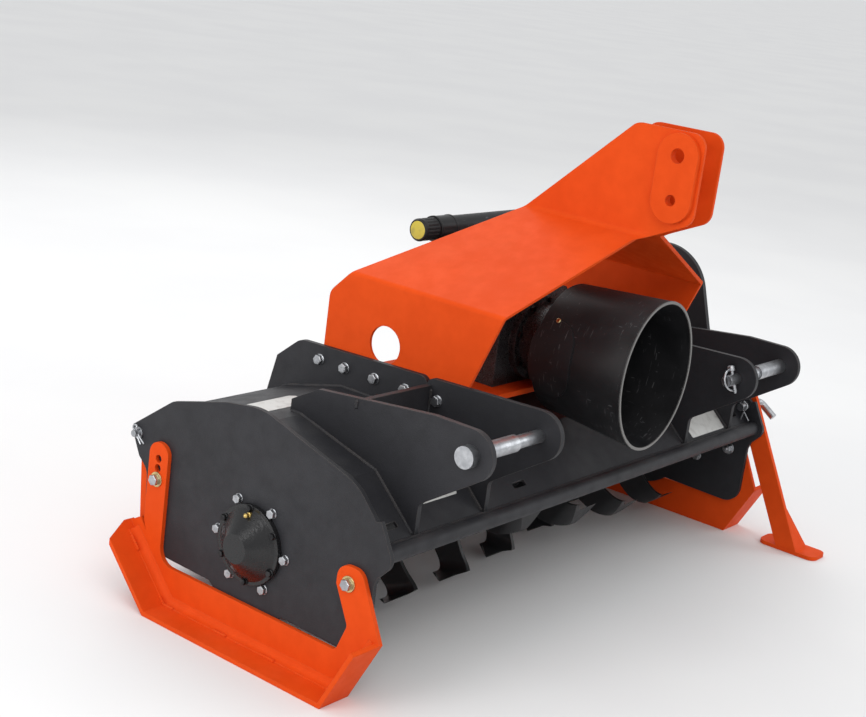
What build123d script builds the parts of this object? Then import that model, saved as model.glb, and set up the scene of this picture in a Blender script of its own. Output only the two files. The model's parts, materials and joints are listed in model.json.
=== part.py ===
"""Rotary tiller for a three-point hitch, as separate plates, castings and moving parts.

Millimetres, +Z up. The front, with the hitch, faces -Y, and the gear drive is at +X.
Side views are drawn as (distance behind the rotor axis, height above the ground).
"""
import os
from math import cos, radians, sin, tan

from build123d import *

# Widths, measured along X from the middle of the machine
INNER_HALF = 612.0
END_PLATE = 8.0
SKID_PLATE = 8.0
RUNNER_WIDTH = 60.0
HITCH_PLATE = 10.0
CAT1_HALF = 341.5
CAT2_HALF = 412.5
OUTER_HITCH_INSET = 86.0
FRAME_PLATE = 6.0
MAST_GAP = 56.0
DOUBLER = 10.0

# Rotor
ROTOR_Z = 175.0
TIP_RADIUS = 168.0
ROTOR_TUBE_RADIUS = 44.0
STUB_RADIUS = 25.0
ROTOR_END_GAP = 8.0
FLANGE_RADIUS = 92.0
FLANGE_THICK = 10.0
FLANGE_COUNT = 6
FLANGE_INSET = 76.0
FLANGE_TWIST = 14.0
TINE_PHASE = 142.0
TINES_PER_FLANGE = 6
TINE_THICK = 8.0
TINE_WIDTH = 64.0
TINE_REACH = 92.0
TINE_BEND = 30.0
TINE_ROOT = 60.0
TINE_LEAD = 44.0
TINE_BOW = 8.0
TINE_TAPER = 48.0
TINE_TIP = 16.0
RUNNING_GAP = 0.05

# Deck, seen from the side
DECK_THICK = 5.0
DECK_LIP = (266.0, 264.0)
DECK_REAR = (272.0, 304.0)
DECK_SHOULDER = (211.0, 347.0)
DECK_TOP_REAR = (81.0, 381.0)
DECK_TOP_FRONT = (6.0, 381.0)
DECK_KNEE = (-164.0, 337.0)
PIPE_AT = (-266.0, 244.6)
PIPE_RADIUS = 14.0
PIPE_NOSE = 9.0
DECK_SLOT_BACK = -234.0
DECK_SLOT_INNER = 213.0
DECK_SLOT_INSET = 48.0
DECK_SLOT_LENGTH = 36.0
DECK_SLOT_WIDTH = 11.0
DECK_SLOT_ROUND = 2.5

# End plates, seen from the side
PLATE_TAIL = (303.0, 291.0)
PLATE_SHOULDER = (211.0, 358.0)
PLATE_RIDGE_REAR = (87.0, 393.0)
PLATE_RIDGE = (9.0, 405.0)
PLATE_BROW = (-205.0, 346.0)
PLATE_STEP = ((-252.0, 299.0), (-261.0, 302.0))
PLATE_NOSE = (-286.0, 255.0)
PLATE_CHIN = ((-278.0, 224.0), (-267.0, 212.0))
PLATE_FRONT = -262.0
PLATE_NECK = 197.0
PLATE_TOE = 70.0
PLATE_HEEL = (252.0, 82.0)
PLATE_WAIST = (259.0, 221.0)
PLATE_HIP = (282.0, 240.0)
PLATE_TAIL_FOOT = (303.0, 280.0)
PLATE_TOE_ROUND = 35.0
PLATE_WAIST_ROUND = 30.0
PLATE_HIP_ROUND = 5.0
LOBE_RADIUS = 130.0
PLATE_CORNER = 22.0
PLATE_RIDGE_ROUND = 110.0
PLATE_BROW_ROUND = 95.0
SHAFT_HOLE = 36.0

# Lower hitch
PIN_AT = (-341.0, 417.0)
NOSE_RADIUS = 42.0
NOSE_FALL = 33.7
FOOT_FRONT = -256.0
FOOT_FILLET = 14.0
RIB_TAIL = 262.0
RIB_HEEL = (242.0, 396.0)
RIB_CROWN = (190.0, 439.0)
RIB_JOINT = -104.0
RIB_JOINT_TOP = 450.0
RIB_CROWN_ROUND = 34.0
RIB_JOINT_ROUND = 15.0
OUTER_TAIL = (31.0, 401.0)
OUTER_CREST = (-25.0, 433.0)
OUTER_STEP = (-264.0, 459.0)
GUSSET_TOP = 438.0
THIN_PIN_RADIUS = 11.1
THICK_PIN_RADIUS = 14.3
PIN_HEAD_RADIUS = 18.0
PIN_HEAD = 17.0
PIN_TAIL = 40.0
PIN_GAP = 0.15

# A-frame: wall, slope and mast in one bent plate
WALL_FOOT = 398.0
WALL_REAR = 142.0
WALL_REAR_DROP = 44.0
WALL_BEND_CLEAR = 22.0
WALL_SHOULDER_BACK = 94.0
WALL_SHOULDER_RISE = 4.0
WALL_FRONT_TOP_BACK = -232.0
WALL_FRONT_DROP = 8.0
WALL_FRONT_FOOT = (-163.0, 398.0)
MAST_BEND_CLEAR = 32.0
MAST_BEND_REAR = -42.0
SLOPE_RISE = 131.0
MAST_TOP_REAR = -246.0
MAST_FRONT = -383.0
MAST_CHIN_DROP = 34.0
MAST_THROAT_BACK = -285.0
MAST_THROAT_DROP = 9.0
MAST_ROUND = 26.0
FRAME_BEND_RADIUS = 10.0
TOP_HOLE_BACK = -339.0
TOP_HOLE_DROP = 42.0
TOP_HOLE_STEP = 76.0
UPPER_HOLE_RADIUS = 12.9
LOWER_HOLE_RADIUS = 9.75
DOUBLER_RADIUS = 39.0

# Drive line
DRIVE_AT = (5.0, 475.0)
WALL_HOLE_RADIUS = 34.0
DRIVE_TUBE_RADIUS = 25.0
BASE_THICK = 10.0
BASE_FRONT = -117.0
BASE_REAR = 128.0
GEARBOX_HALF = 112.0
GEARBOX_FRONT = -80.0
GEARBOX_REAR = 98.0
GEARBOX_RISE = 87.0
GEARBOX_CHAMFER = 26.0
NECK_FLANGE_RADIUS = 80.0
NECK_FLANGE = 14.0
NECK_RADIUS = 66.0
SPIGOT_RADIUS = 58.0
SPIGOT = 8.0
SHIELD_HALF = 118.0
SHIELD_REAR_TALL = 118.5
SHIELD_FRONT_TALL = 136.6
SHIELD_DROP = 5.0
SHIELD_WALL = 5.0
SHIELD_REAR = -160.0
SHIELD_FRONT = -348.0
SHIELD_BACK_GAP = 1.0
SEAT_GAP = 0.3
FLAP_BACK = -197.0
FLAP_WIDTH = 86.0
FLAP_HEIGHT = 138.0
FLAP_THICK = 3.0
INPUT_RADIUS = 17.46
JOURNAL_RADIUS = 22.0
JOURNAL_PROUD = 6.0
INPUT_END = -262.0
INPUT_GRIP = 40.0
INPUT_GROOVE_RADIUS = 14.7
INPUT_GROOVE = 8.0
INPUT_GROOVE_FROM_END = 22.0
CASE_TOP_AT = (14.0, 479.0)
CASE_TOP_RADIUS = 107.0
CASE_FOOT_RADIUS = 92.0
CASE_PLATE = 12.0
CASE_FLARE = 140.0
CASE_FLARE_DROP = 107.0
CASE_FLARE_ROUND = 6.0
COVER_INSET = 24.0
COVER_DEPTH = 42.0
COVER_ROUND = 14.0
STUB_INTO_COVER = 28.0

# Near bearing
HOUSING_RADIUS = 78.0
HOUSING_DEPTH = 28.0
CAP_RADIUS = 68.0
CAP_FACE_RADIUS = 25.0
CAP_FLANGE = 9.0
CAP_HEIGHT = 40.0
CAP_SPACE = 6.0
CAP_STEP = 6.0
STUB_INTO_CAP = 14.0

# Skids
RUNNER_THICK = 8.0
RUNNER_FRONT = -239.0
RUNNER_REAR = 170.0
RUNNER_FRONT_TIP = (-294.0, 110.0)
RUNNER_REAR_TIP = (287.0, 120.0)
RUNNER_REAR_OUTER = 264.0
SKID_WEB = 70.0
SKID_REAR_ARM = (202.0, 248.0)
SKID_REAR_EAR = (256.0, 138.0)
SKID_REAR_TOP = 282.0
SKID_REAR_NOTCH = (241.0, 118.0)
SKID_FRONT_ARM = (-242.0, -194.0)
SKID_FRONT_TOP = 216.0
SKID_FRONT_WAIST = (-226.0, 118.0)
SKID_STEP = 18.0
SKID_REAR_ROUND = 22.5
SKID_FRONT_ROUND = 23.5
SKID_WINDOW_ROUND = 30.0
SKID_SOFT = 12.0
SKID_HOLE_RADIUS = 7.0
SKID_HOLE_BACK = 225.0
SKID_HOLES_HIGH = (253.0, 236.0)

# Tail door
HINGE_AT = (288.0, 280.0)
HINGE_ROD_RADIUS = 6.0
KNUCKLE_RADIUS = 11.0
DOOR_THICK = 5.0
DOOR_SIDE_GAP = 6.0
DOOR_DROP = 12.0
DOOR_FOOT = (277.0, 66.0)
DOOR_KICK = (288.0, 50.0)
DOOR_FLANGE = 20.0
KNUCKLE_LENGTH = 70.0
KNUCKLE_INSET = 156.0
ROD_PROUD = 12.0

# Parking stand
STAND_PIVOT = (-241.0, 289.0)
STAND_LEAN = 27.23
LEG_WIDTH = 42.0
LEG_HEAD = 14.0
LEG_THICK = 10.0
STAND_GAP = 5.0
LOCK_PIN_RADIUS = 8.0
LOCK_PIN_GAP = 0.1
FOOT_THICK = 8.0
FOOT_REACH = 66.0
FOOT_WIDTH = 62.0
FOOT_ROUND = 18.0
FOOT_GUSSET = 92.0
LOCK_HANDLE = (38.0, 26.0)
LOCK_BEND = 14.0
LOCK_PIN_TAIL = 26.0
LOCK_PIN_REACH = 41.0

# Document canister
CANISTER_BACK = 96.0
CANISTER_RISE = 86.0
CANISTER_RADIUS = 21.0
CANISTER_COLLAR_RADIUS = 23.0
CANISTER_LENGTH = 313.0
CANISTER_FAR = 150.0
CANISTER_CAP = 46.0
CANISTER_COLLAR = 44.0
BRACKET_THICK = 6.0
BRACKET_WIDTH = 60.0

# Sizes that follow from the ones above
OUTER_FACE = INNER_HALF + END_PLATE
SKID_FACE = OUTER_FACE + SKID_PLATE
HALF_WIDTH = SKID_FACE + RUNNER_WIDTH
OUTER_HITCH_HALF = INNER_HALF - OUTER_HITCH_INSET
GEARBOX_TOP = DRIVE_AT[1] + GEARBOX_RISE
WALL_BEND = GEARBOX_TOP + WALL_BEND_CLEAR
WALL_REAR_TOP = WALL_BEND - WALL_REAR_DROP
WALL_SHOULDER = (WALL_SHOULDER_BACK, WALL_BEND + WALL_SHOULDER_RISE)
WALL_FRONT_TOP = (WALL_FRONT_TOP_BACK, WALL_BEND - WALL_FRONT_DROP)
MAST_BEND = WALL_BEND + SLOPE_RISE
TOP_HOLE_LOWER = MAST_BEND + MAST_BEND_CLEAR + DOUBLER_RADIUS
TOP_HOLE_UPPER = TOP_HOLE_LOWER + TOP_HOLE_STEP
MAST_TOP = TOP_HOLE_UPPER + TOP_HOLE_DROP
MAST_CHIN = TOP_HOLE_LOWER - MAST_CHIN_DROP
MAST_THROAT = (MAST_THROAT_BACK, MAST_BEND - MAST_THROAT_DROP)
CANISTER_AT = (CANISTER_BACK, GEARBOX_TOP + CANISTER_RISE)
CANISTER_NEAR = CANISTER_FAR - CANISTER_LENGTH
DECK_SPINE = [DECK_LIP, DECK_REAR, DECK_SHOULDER, DECK_TOP_REAR, DECK_TOP_FRONT, DECK_KNEE, PIPE_AT]
BASE_TOP = DECK_TOP_FRONT[1] + BASE_THICK
LEG_FOOT = STAND_PIVOT[0] - (STAND_PIVOT[1] - FOOT_THICK) * tan(radians(STAND_LEAN))
ROTOR_Y = (FOOT_REACH - LEG_FOOT - PLATE_TAIL[0]) / 2
WALL_FACE = CAT1_HALF - HITCH_PLATE
MAST_FACE = MAST_GAP / 2 + FRAME_PLATE
ROTOR_HALF = INNER_HALF - HOUSING_DEPTH - ROTOR_END_GAP
FLANGE_PITCH = 2 * (ROTOR_HALF - FLANGE_INSET) / (FLANGE_COUNT - 1)
DOOR_HALF = INNER_HALF - DOOR_SIDE_GAP


def side(x):
    """Side-view plane at x: the first axis runs rearward from the rotor, the second up."""
    return Plane(origin=(x, ROTOR_Y, 0), x_dir=(0, 1, 0), z_dir=(1, 0, 0))


def front(back):
    """Front-view plane at a distance behind the rotor, facing forward."""
    return Plane(origin=(0, ROTOR_Y + back, 0), x_dir=(1, 0, 0), z_dir=(0, -1, 0))


def deck_height(back):
    """Height of the deck's top at a distance behind the rotor."""
    for (rear, high), (fore, low) in zip(DECK_SPINE, DECK_SPINE[1:]):
        if fore <= back <= rear:
            return low + (high - low) * (back - fore) / (rear - fore)
    raise ValueError("off the deck")


def deck_line(rear, fore):
    """Points along the deck's top from one distance behind the rotor to another."""
    between = [point for point in DECK_SPINE if fore < point[0] < rear]
    return [(rear, deck_height(rear)), *between, (fore, deck_height(fore))]


def nose_outline():
    """Points of a hitch nose from its lower tangent round to the foot on the deck."""
    fall = radians(NOSE_FALL)
    low = (PIN_AT[0] - NOSE_RADIUS * sin(fall), PIN_AT[1] - NOSE_RADIUS * cos(fall))
    knee = (FOOT_FRONT, low[1] - (FOOT_FRONT - low[0]) * sin(fall) / cos(fall))
    return low, knee


def tube_body(rear, grow):
    """Solid oval body of the shaft tube from its mouth back to a place, grown outward."""
    rise = (SHIELD_FRONT_TALL - SHIELD_REAR_TALL) / (SHIELD_FRONT - SHIELD_REAR)
    fall = SHIELD_DROP / (SHIELD_FRONT - SHIELD_REAR)
    with BuildPart() as body:
        for back in (rear, SHIELD_FRONT):
            tall = SHIELD_REAR_TALL + rise * (back - SHIELD_REAR)
            with BuildSketch(front(back)):
                with Locations((0, DRIVE_AT[1] - fall * (back - SHIELD_REAR))):
                    Ellipse(SHIELD_HALF + grow, tall + grow)
        loft()
    return body.part


nose_low, nose_knee = nose_outline()
nose_top = (PIN_AT[0], PIN_AT[1] + NOSE_RADIUS)
pieces = {}

# Deck sheet between the end plates
with BuildPart() as deck:
    with BuildSketch(side(-INNER_HALF)):
        with BuildLine():
            Polyline(*DECK_SPINE)
            offset(amount=DECK_THICK, side=Side.LEFT, kind=Kind.INTERSECTION)
        make_face()
    extrude(amount=2 * INNER_HALF)
    with BuildSketch(side(-INNER_HALF)):
        with Locations(PIPE_AT):
            Circle(PIPE_RADIUS)
    extrude(amount=2 * INNER_HALF, mode=Mode.SUBTRACT)
    slope = Plane(
        origin=(0, ROTOR_Y + DECK_SLOT_BACK, deck_height(DECK_SLOT_BACK)), x_dir=(1, 0, 0),
        z_dir=(0, DECK_KNEE[1] - PIPE_AT[1], PIPE_AT[0] - DECK_KNEE[0]),
    )
    with BuildSketch(slope):
        slot_out = INNER_HALF - DECK_SLOT_INSET
        with Locations(*[(at, 0) for at in (-slot_out, -DECK_SLOT_INNER, DECK_SLOT_INNER, slot_out)]):
            RectangleRounded(DECK_SLOT_LENGTH, DECK_SLOT_WIDTH, DECK_SLOT_ROUND)
    extrude(amount=2 * DECK_THICK, both=True, mode=Mode.SUBTRACT)
pieces["deck"] = deck

# Round pipe along the deck's front edge
with BuildPart() as front_pipe:
    with BuildSketch(side(-INNER_HALF)):
        with Locations(PIPE_AT):
            Circle(PIPE_RADIUS)
    extrude(amount=2 * INNER_HALF)
pieces["front_pipe"] = front_pipe

# End plate at the bearing end
with BuildPart() as end_plate_near:
    with BuildSketch(side(-OUTER_FACE)) as end_outline:
        with BuildLine():
            Polyline(
                PLATE_TAIL, PLATE_SHOULDER, PLATE_RIDGE_REAR, PLATE_RIDGE, PLATE_BROW, *PLATE_STEP,
                PLATE_NOSE, *PLATE_CHIN, (PLATE_FRONT, PLATE_NECK), (PLATE_FRONT, PLATE_TOE),
                PLATE_HEEL, PLATE_WAIST, PLATE_HIP, PLATE_TAIL_FOOT, close=True,
            )
        make_face()
        for corner, radius in (
            (PLATE_SHOULDER, PLATE_CORNER), (PLATE_RIDGE, PLATE_RIDGE_ROUND), (PLATE_BROW, PLATE_BROW_ROUND),
            ((PLATE_FRONT, PLATE_TOE), PLATE_TOE_ROUND), (PLATE_HEEL, PLATE_CORNER),
            (PLATE_WAIST, PLATE_WAIST_ROUND), (PLATE_HIP, PLATE_HIP_ROUND), (PLATE_TAIL, PLATE_HIP_ROUND),
        ):
            fillet(end_outline.vertices().sort_by_distance(corner)[0], radius)
        with Locations((0, ROTOR_Z)):
            Circle(LOBE_RADIUS)
        with Locations(PIPE_AT):
            Circle(PIPE_RADIUS + PIPE_NOSE)
        with Locations((0, ROTOR_Z)):
            Circle(SHAFT_HOLE, mode=Mode.SUBTRACT)
        with Locations(HINGE_AT):
            Circle(HINGE_ROD_RADIUS + PIN_GAP, mode=Mode.SUBTRACT)
    extrude(amount=END_PLATE)
pieces["end_plate_near"] = end_plate_near

# End plate at the drive end, with the hole of the parking stand's pin
with BuildPart() as end_plate_far:
    mirror(end_plate_near.part, about=Plane.YZ)
    with BuildSketch(side(INNER_HALF)):
        with Locations(STAND_PIVOT):
            Circle(LOCK_PIN_RADIUS + PIN_GAP)
    extrude(amount=END_PLATE, mode=Mode.SUBTRACT)
pieces["end_plate_far"] = end_plate_far

# Deck rib: rear part of the inner hitch plate, which carries the A-frame
with BuildPart() as deck_rib_near:
    with BuildSketch(side(-CAT1_HALF)) as rib_outline:
        with BuildLine():
            Polyline(
                (RIB_JOINT, RIB_JOINT_TOP), RIB_CROWN, RIB_HEEL,
                *deck_line(RIB_TAIL, RIB_JOINT), close=True,
            )
        make_face()
        fillet(rib_outline.vertices().sort_by_distance(RIB_CROWN)[0], RIB_CROWN_ROUND)
        fillet(rib_outline.vertices().sort_by_distance((RIB_JOINT, RIB_JOINT_TOP))[0], RIB_JOINT_ROUND)
    extrude(amount=HITCH_PLATE)
pieces["deck_rib_near"] = deck_rib_near

# Inner hitch plate: front part with the nose
with BuildPart() as hitch_inner_near:
    with BuildSketch(side(-CAT1_HALF)) as inner_outline:
        with BuildLine():
            Line((RIB_JOINT, RIB_JOINT_TOP), nose_top)
            ThreePointArc(
                nose_top,
                (PIN_AT[0] - NOSE_RADIUS * cos(radians(NOSE_FALL / 2)),
                 PIN_AT[1] + NOSE_RADIUS * sin(radians(NOSE_FALL / 2))),
                nose_low,
            )
            Polyline(nose_low, nose_knee, *reversed(deck_line(RIB_JOINT, FOOT_FRONT)))
            Line((RIB_JOINT, deck_height(RIB_JOINT)), (RIB_JOINT, RIB_JOINT_TOP))
        make_face()
        fillet(inner_outline.vertices().sort_by_distance(nose_knee)[0], FOOT_FILLET)
        fillet(inner_outline.vertices().sort_by_distance((RIB_JOINT, RIB_JOINT_TOP))[0], RIB_JOINT_ROUND)
        with Locations(PIN_AT):
            Circle(THIN_PIN_RADIUS + PIN_GAP, mode=Mode.SUBTRACT)
    extrude(amount=HITCH_PLATE)
pieces["hitch_inner_near"] = hitch_inner_near

# Outer hitch plate
with BuildPart() as hitch_outer_near:
    with BuildSketch(side(-OUTER_HITCH_HALF)) as outer_outline:
        with BuildLine():
            Polyline(OUTER_TAIL, OUTER_CREST, OUTER_STEP, nose_top)
            ThreePointArc(
                nose_top,
                (PIN_AT[0] - NOSE_RADIUS * cos(radians(NOSE_FALL / 2)),
                 PIN_AT[1] + NOSE_RADIUS * sin(radians(NOSE_FALL / 2))),
                nose_low,
            )
            Polyline(nose_low, nose_knee, *reversed(deck_line(OUTER_TAIL[0], FOOT_FRONT)))
            Line((OUTER_TAIL[0], deck_height(OUTER_TAIL[0])), OUTER_TAIL)
        make_face()
        fillet(outer_outline.vertices().sort_by_distance(nose_knee)[0], FOOT_FILLET)
        with Locations(PIN_AT):
            Circle(THICK_PIN_RADIUS + PIN_GAP, mode=Mode.SUBTRACT)
    extrude(amount=HITCH_PLATE)
pieces["hitch_outer_near"] = hitch_outer_near

# Cross gusset between the inner and outer hitch plates
with BuildPart() as hitch_gusset_near:
    with BuildSketch(side(-OUTER_HITCH_HALF + HITCH_PLATE)):
        with BuildLine():
            Polyline(
                (RIB_JOINT, GUSSET_TOP), (RIB_JOINT - HITCH_PLATE, GUSSET_TOP),
                *reversed(deck_line(RIB_JOINT, RIB_JOINT - HITCH_PLATE)), close=True,
            )
        make_face()
    extrude(amount=OUTER_HITCH_HALF - HITCH_PLATE - CAT1_HALF)
pieces["hitch_gusset_near"] = hitch_gusset_near

# Stepped lower hitch pin: thin inside for narrow link arms, thick outside for wide ones
with BuildPart() as hitch_pin_near:
    with BuildSketch(side(-OUTER_HITCH_HALF)):
        with Locations(PIN_AT):
            Circle(THICK_PIN_RADIUS)
    extrude(amount=OUTER_HITCH_HALF - CAT2_HALF)
    with BuildSketch(side(-CAT2_HALF)):
        with Locations(PIN_AT):
            Circle(THIN_PIN_RADIUS)
    extrude(amount=CAT2_HALF - CAT1_HALF + HITCH_PLATE + PIN_TAIL)
    with BuildSketch(side(-OUTER_HITCH_HALF)):
        with Locations(PIN_AT):
            Circle(PIN_HEAD_RADIUS)
    extrude(amount=-PIN_HEAD)
pieces["hitch_pin_near"] = hitch_pin_near

# Bent A-frame plate: a folded band cut to the side outline
with BuildPart() as frame_plate_near:
    with BuildSketch(front(WALL_REAR)):
        with BuildLine():
            FilletPolyline(
                (-WALL_FACE, WALL_FOOT), (-WALL_FACE, WALL_BEND), (-MAST_FACE, MAST_BEND),
                (-MAST_FACE, MAST_TOP), radius=FRAME_BEND_RADIUS,
            )
            offset(amount=FRAME_PLATE, side=Side.RIGHT, kind=Kind.INTERSECTION)
        make_face()
    extrude(amount=WALL_REAR - MAST_FRONT)
    with BuildSketch(side(-WALL_FACE)) as frame_outline:
        with BuildLine():
            Polyline(
                (WALL_REAR, WALL_FOOT), (WALL_REAR, WALL_REAR_TOP), WALL_SHOULDER,
                (MAST_BEND_REAR, MAST_BEND), (MAST_TOP_REAR, MAST_TOP), (MAST_FRONT, MAST_TOP),
                (MAST_FRONT, MAST_CHIN), MAST_THROAT, WALL_FRONT_TOP, WALL_FRONT_FOOT, close=True,
            )
        make_face()
        fillet(frame_outline.vertices().group_by(Axis.Y)[-1], MAST_ROUND)
        fillet(frame_outline.vertices().sort_by_distance((MAST_FRONT, MAST_CHIN))[0], MAST_ROUND)
        fillet(frame_outline.vertices().sort_by_distance((WALL_REAR, WALL_REAR_TOP))[0], MAST_ROUND)
        with Locations(DRIVE_AT):
            Circle(WALL_HOLE_RADIUS, mode=Mode.SUBTRACT)
        with Locations((TOP_HOLE_BACK, TOP_HOLE_UPPER)):
            Circle(UPPER_HOLE_RADIUS, mode=Mode.SUBTRACT)
        with Locations((TOP_HOLE_BACK, TOP_HOLE_LOWER)):
            Circle(LOWER_HOLE_RADIUS, mode=Mode.SUBTRACT)
    extrude(amount=WALL_FACE, mode=Mode.INTERSECT)
pieces["frame_plate_near"] = frame_plate_near

# Doubler on the mast round the two top-link holes
with BuildPart() as mast_doubler_near:
    with BuildSketch(side(-MAST_FACE - DOUBLER)):
        with Locations((TOP_HOLE_BACK, (TOP_HOLE_UPPER + TOP_HOLE_LOWER) / 2)):
            SlotCenterToCenter(TOP_HOLE_UPPER - TOP_HOLE_LOWER, 2 * DOUBLER_RADIUS, rotation=90)
        with Locations((TOP_HOLE_BACK, TOP_HOLE_UPPER)):
            Circle(UPPER_HOLE_RADIUS, mode=Mode.SUBTRACT)
        with Locations((TOP_HOLE_BACK, TOP_HOLE_LOWER)):
            Circle(LOWER_HOLE_RADIUS, mode=Mode.SUBTRACT)
    extrude(amount=DOUBLER)
pieces["mast_doubler_near"] = mast_doubler_near

# Plate under the gearbox, from wall to wall
with BuildPart() as gearbox_base:
    with BuildSketch(side(-WALL_FACE + FRAME_PLATE)):
        with BuildLine():
            Polyline(
                (BASE_FRONT, BASE_TOP), (BASE_REAR, BASE_TOP),
                *deck_line(BASE_REAR, DECK_TOP_FRONT[0]), (BASE_FRONT, DECK_TOP_FRONT[1]), close=True,
            )
        make_face()
    extrude(amount=2 * (WALL_FACE - FRAME_PLATE))
pieces["gearbox_base"] = gearbox_base

# Gearbox casting with the neck that carries the input shaft
with BuildPart() as gearbox:
    with BuildSketch(side(-GEARBOX_HALF)) as gearbox_outline:
        with BuildLine():
            Polyline(
                (GEARBOX_FRONT, BASE_TOP), (GEARBOX_FRONT, GEARBOX_TOP), (GEARBOX_REAR, GEARBOX_TOP),
                (GEARBOX_REAR, BASE_TOP), close=True,
            )
        make_face()
    extrude(amount=2 * GEARBOX_HALF)
    chamfer(gearbox.edges().filter_by(Axis.Y).group_by(Axis.Z)[-1], GEARBOX_CHAMFER)
    with BuildSketch(front(GEARBOX_FRONT)):
        with Locations((0, DRIVE_AT[1])):
            Circle(NECK_FLANGE_RADIUS)
    extrude(amount=NECK_FLANGE)
    with BuildSketch(front(GEARBOX_FRONT)):
        with Locations((0, DRIVE_AT[1])):
            Circle(NECK_RADIUS)
    extrude(amount=GEARBOX_FRONT - SHIELD_REAR)
    with BuildSketch(front(SHIELD_REAR)):
        with Locations((0, DRIVE_AT[1])):
            Circle(SPIGOT_RADIUS)
    extrude(amount=SPIGOT)
    with BuildSketch(front(GEARBOX_FRONT + INPUT_GRIP)):
        with Locations((0, DRIVE_AT[1])):
            Circle(JOURNAL_RADIUS + RUNNING_GAP)
    extrude(amount=INPUT_GRIP + GEARBOX_FRONT - SHIELD_REAR + SPIGOT, mode=Mode.SUBTRACT)
pieces["gearbox"] = gearbox

# Input shaft: a journal in the gearbox and a stub with the groove of its coupling lock
with BuildPart() as input_shaft:
    with BuildSketch(front(GEARBOX_FRONT + INPUT_GRIP - RUNNING_GAP)):
        with Locations((0, DRIVE_AT[1])):
            Circle(JOURNAL_RADIUS)
    extrude(amount=INPUT_GRIP - RUNNING_GAP + GEARBOX_FRONT - SHIELD_REAR + SPIGOT + JOURNAL_PROUD)
    with BuildSketch(front(GEARBOX_FRONT)):
        with Locations((0, DRIVE_AT[1])):
            Circle(INPUT_RADIUS)
    extrude(amount=GEARBOX_FRONT - INPUT_END)
    with BuildSketch(front(INPUT_END + INPUT_GROOVE_FROM_END + INPUT_GROOVE)):
        with Locations((0, DRIVE_AT[1])):
            Circle(INPUT_RADIUS)
            Circle(INPUT_GROOVE_RADIUS, mode=Mode.SUBTRACT)
    extrude(amount=INPUT_GROOVE, mode=Mode.SUBTRACT)
pieces["input_shaft"] = input_shaft

# Oval shield over the input shaft, with a back ring on the gearbox's neck
tube_skin = tube_body(SHIELD_REAR, 0)
tube_core = tube_body(SHIELD_REAR, -SHIELD_WALL)
with BuildPart() as pto_shield:
    add(tube_skin)
    add(tube_core, mode=Mode.SUBTRACT)
    with BuildSketch(front(SHIELD_REAR)):
        with Locations((0, DRIVE_AT[1])):
            Ellipse(SHIELD_HALF - SHIELD_WALL / 2, SHIELD_REAR_TALL - SHIELD_WALL / 2)
            Circle(SPIGOT_RADIUS + SHIELD_BACK_GAP, mode=Mode.SUBTRACT)
    extrude(amount=SHIELD_WALL)
pieces["pto_shield"] = pto_shield

# Oval access flap on the shield's near side
flap_skin = tube_body(GEARBOX_FRONT, FLAP_THICK)
flap_core = tube_body(GEARBOX_FRONT, 0)
with BuildPart() as shield_flap:
    with BuildSketch(side(-SHIELD_HALF - FLAP_THICK)):
        with Locations((FLAP_BACK, DRIVE_AT[1])):
            SlotOverall(FLAP_HEIGHT, FLAP_WIDTH, rotation=90)
    extrude(amount=SHIELD_HALF)
    add(flap_skin, mode=Mode.INTERSECT)
    add(flap_core, mode=Mode.SUBTRACT)
pieces["shield_flap"] = shield_flap

# Housing of the drive shaft between gearbox and drive case
with BuildPart() as drive_tube:
    with BuildSketch(side(GEARBOX_HALF)):
        with Locations(DRIVE_AT):
            Circle(DRIVE_TUBE_RADIUS)
    extrude(amount=OUTER_FACE - GEARBOX_HALF)
pieces["drive_tube"] = drive_tube

# Drive case: a plate from the drive shaft down to the rotor, flared towards the end plate's top
with BuildPart() as drive_case:
    with BuildSketch(side(OUTER_FACE)):
        with Locations(CASE_TOP_AT):
            Circle(CASE_TOP_RADIUS)
        with Locations((0, ROTOR_Z)):
            Circle(CASE_FOOT_RADIUS)
        make_hull()
    extrude(amount=CASE_PLATE)
    with BuildSketch(side(OUTER_FACE)):
        with Locations(CASE_TOP_AT):
            Circle(CASE_TOP_RADIUS)
        for reach in (-CASE_FLARE, CASE_FLARE):
            with Locations((CASE_TOP_AT[0] + reach, CASE_TOP_AT[1] - CASE_FLARE_DROP)):
                Circle(CASE_FLARE_ROUND)
        make_hull()
    extrude(amount=CASE_PLATE)
    with BuildSketch(side(OUTER_FACE)):
        with Locations((0, ROTOR_Z)):
            Circle(STUB_RADIUS + RUNNING_GAP)
    extrude(amount=CASE_PLATE, mode=Mode.SUBTRACT)
pieces["drive_case"] = drive_case

# Dished cover bolted over the drive case
with BuildPart() as drive_cover:
    with BuildSketch(side(OUTER_FACE + CASE_PLATE)):
        with Locations(CASE_TOP_AT):
            Circle(CASE_TOP_RADIUS - COVER_INSET)
        with Locations((0, ROTOR_Z)):
            Circle(CASE_FOOT_RADIUS - COVER_INSET)
        make_hull()
    extrude(amount=COVER_DEPTH)
    fillet(drive_cover.faces().sort_by(Axis.X)[-1].edges(), COVER_ROUND)
    with BuildSketch(side(OUTER_FACE + CASE_PLATE)):
        with Locations((0, ROTOR_Z)):
            Circle(STUB_RADIUS + CAP_SPACE)
    extrude(amount=STUB_INTO_COVER + CAP_SPACE, mode=Mode.SUBTRACT)
pieces["drive_cover"] = drive_cover

# Bearing housing on the inside of the near end plate
with BuildPart() as bearing_housing:
    with BuildSketch(side(-INNER_HALF)):
        with Locations((0, ROTOR_Z)):
            Circle(HOUSING_RADIUS)
            Circle(STUB_RADIUS + RUNNING_GAP, mode=Mode.SUBTRACT)
    extrude(amount=HOUSING_DEPTH)
pieces["bearing_housing"] = bearing_housing

# Hub of the drive shaft on the inside of the far end plate
with BuildPart() as drive_hub:
    mirror(bearing_housing.part, about=Plane.YZ)
pieces["drive_hub"] = drive_hub

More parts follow.
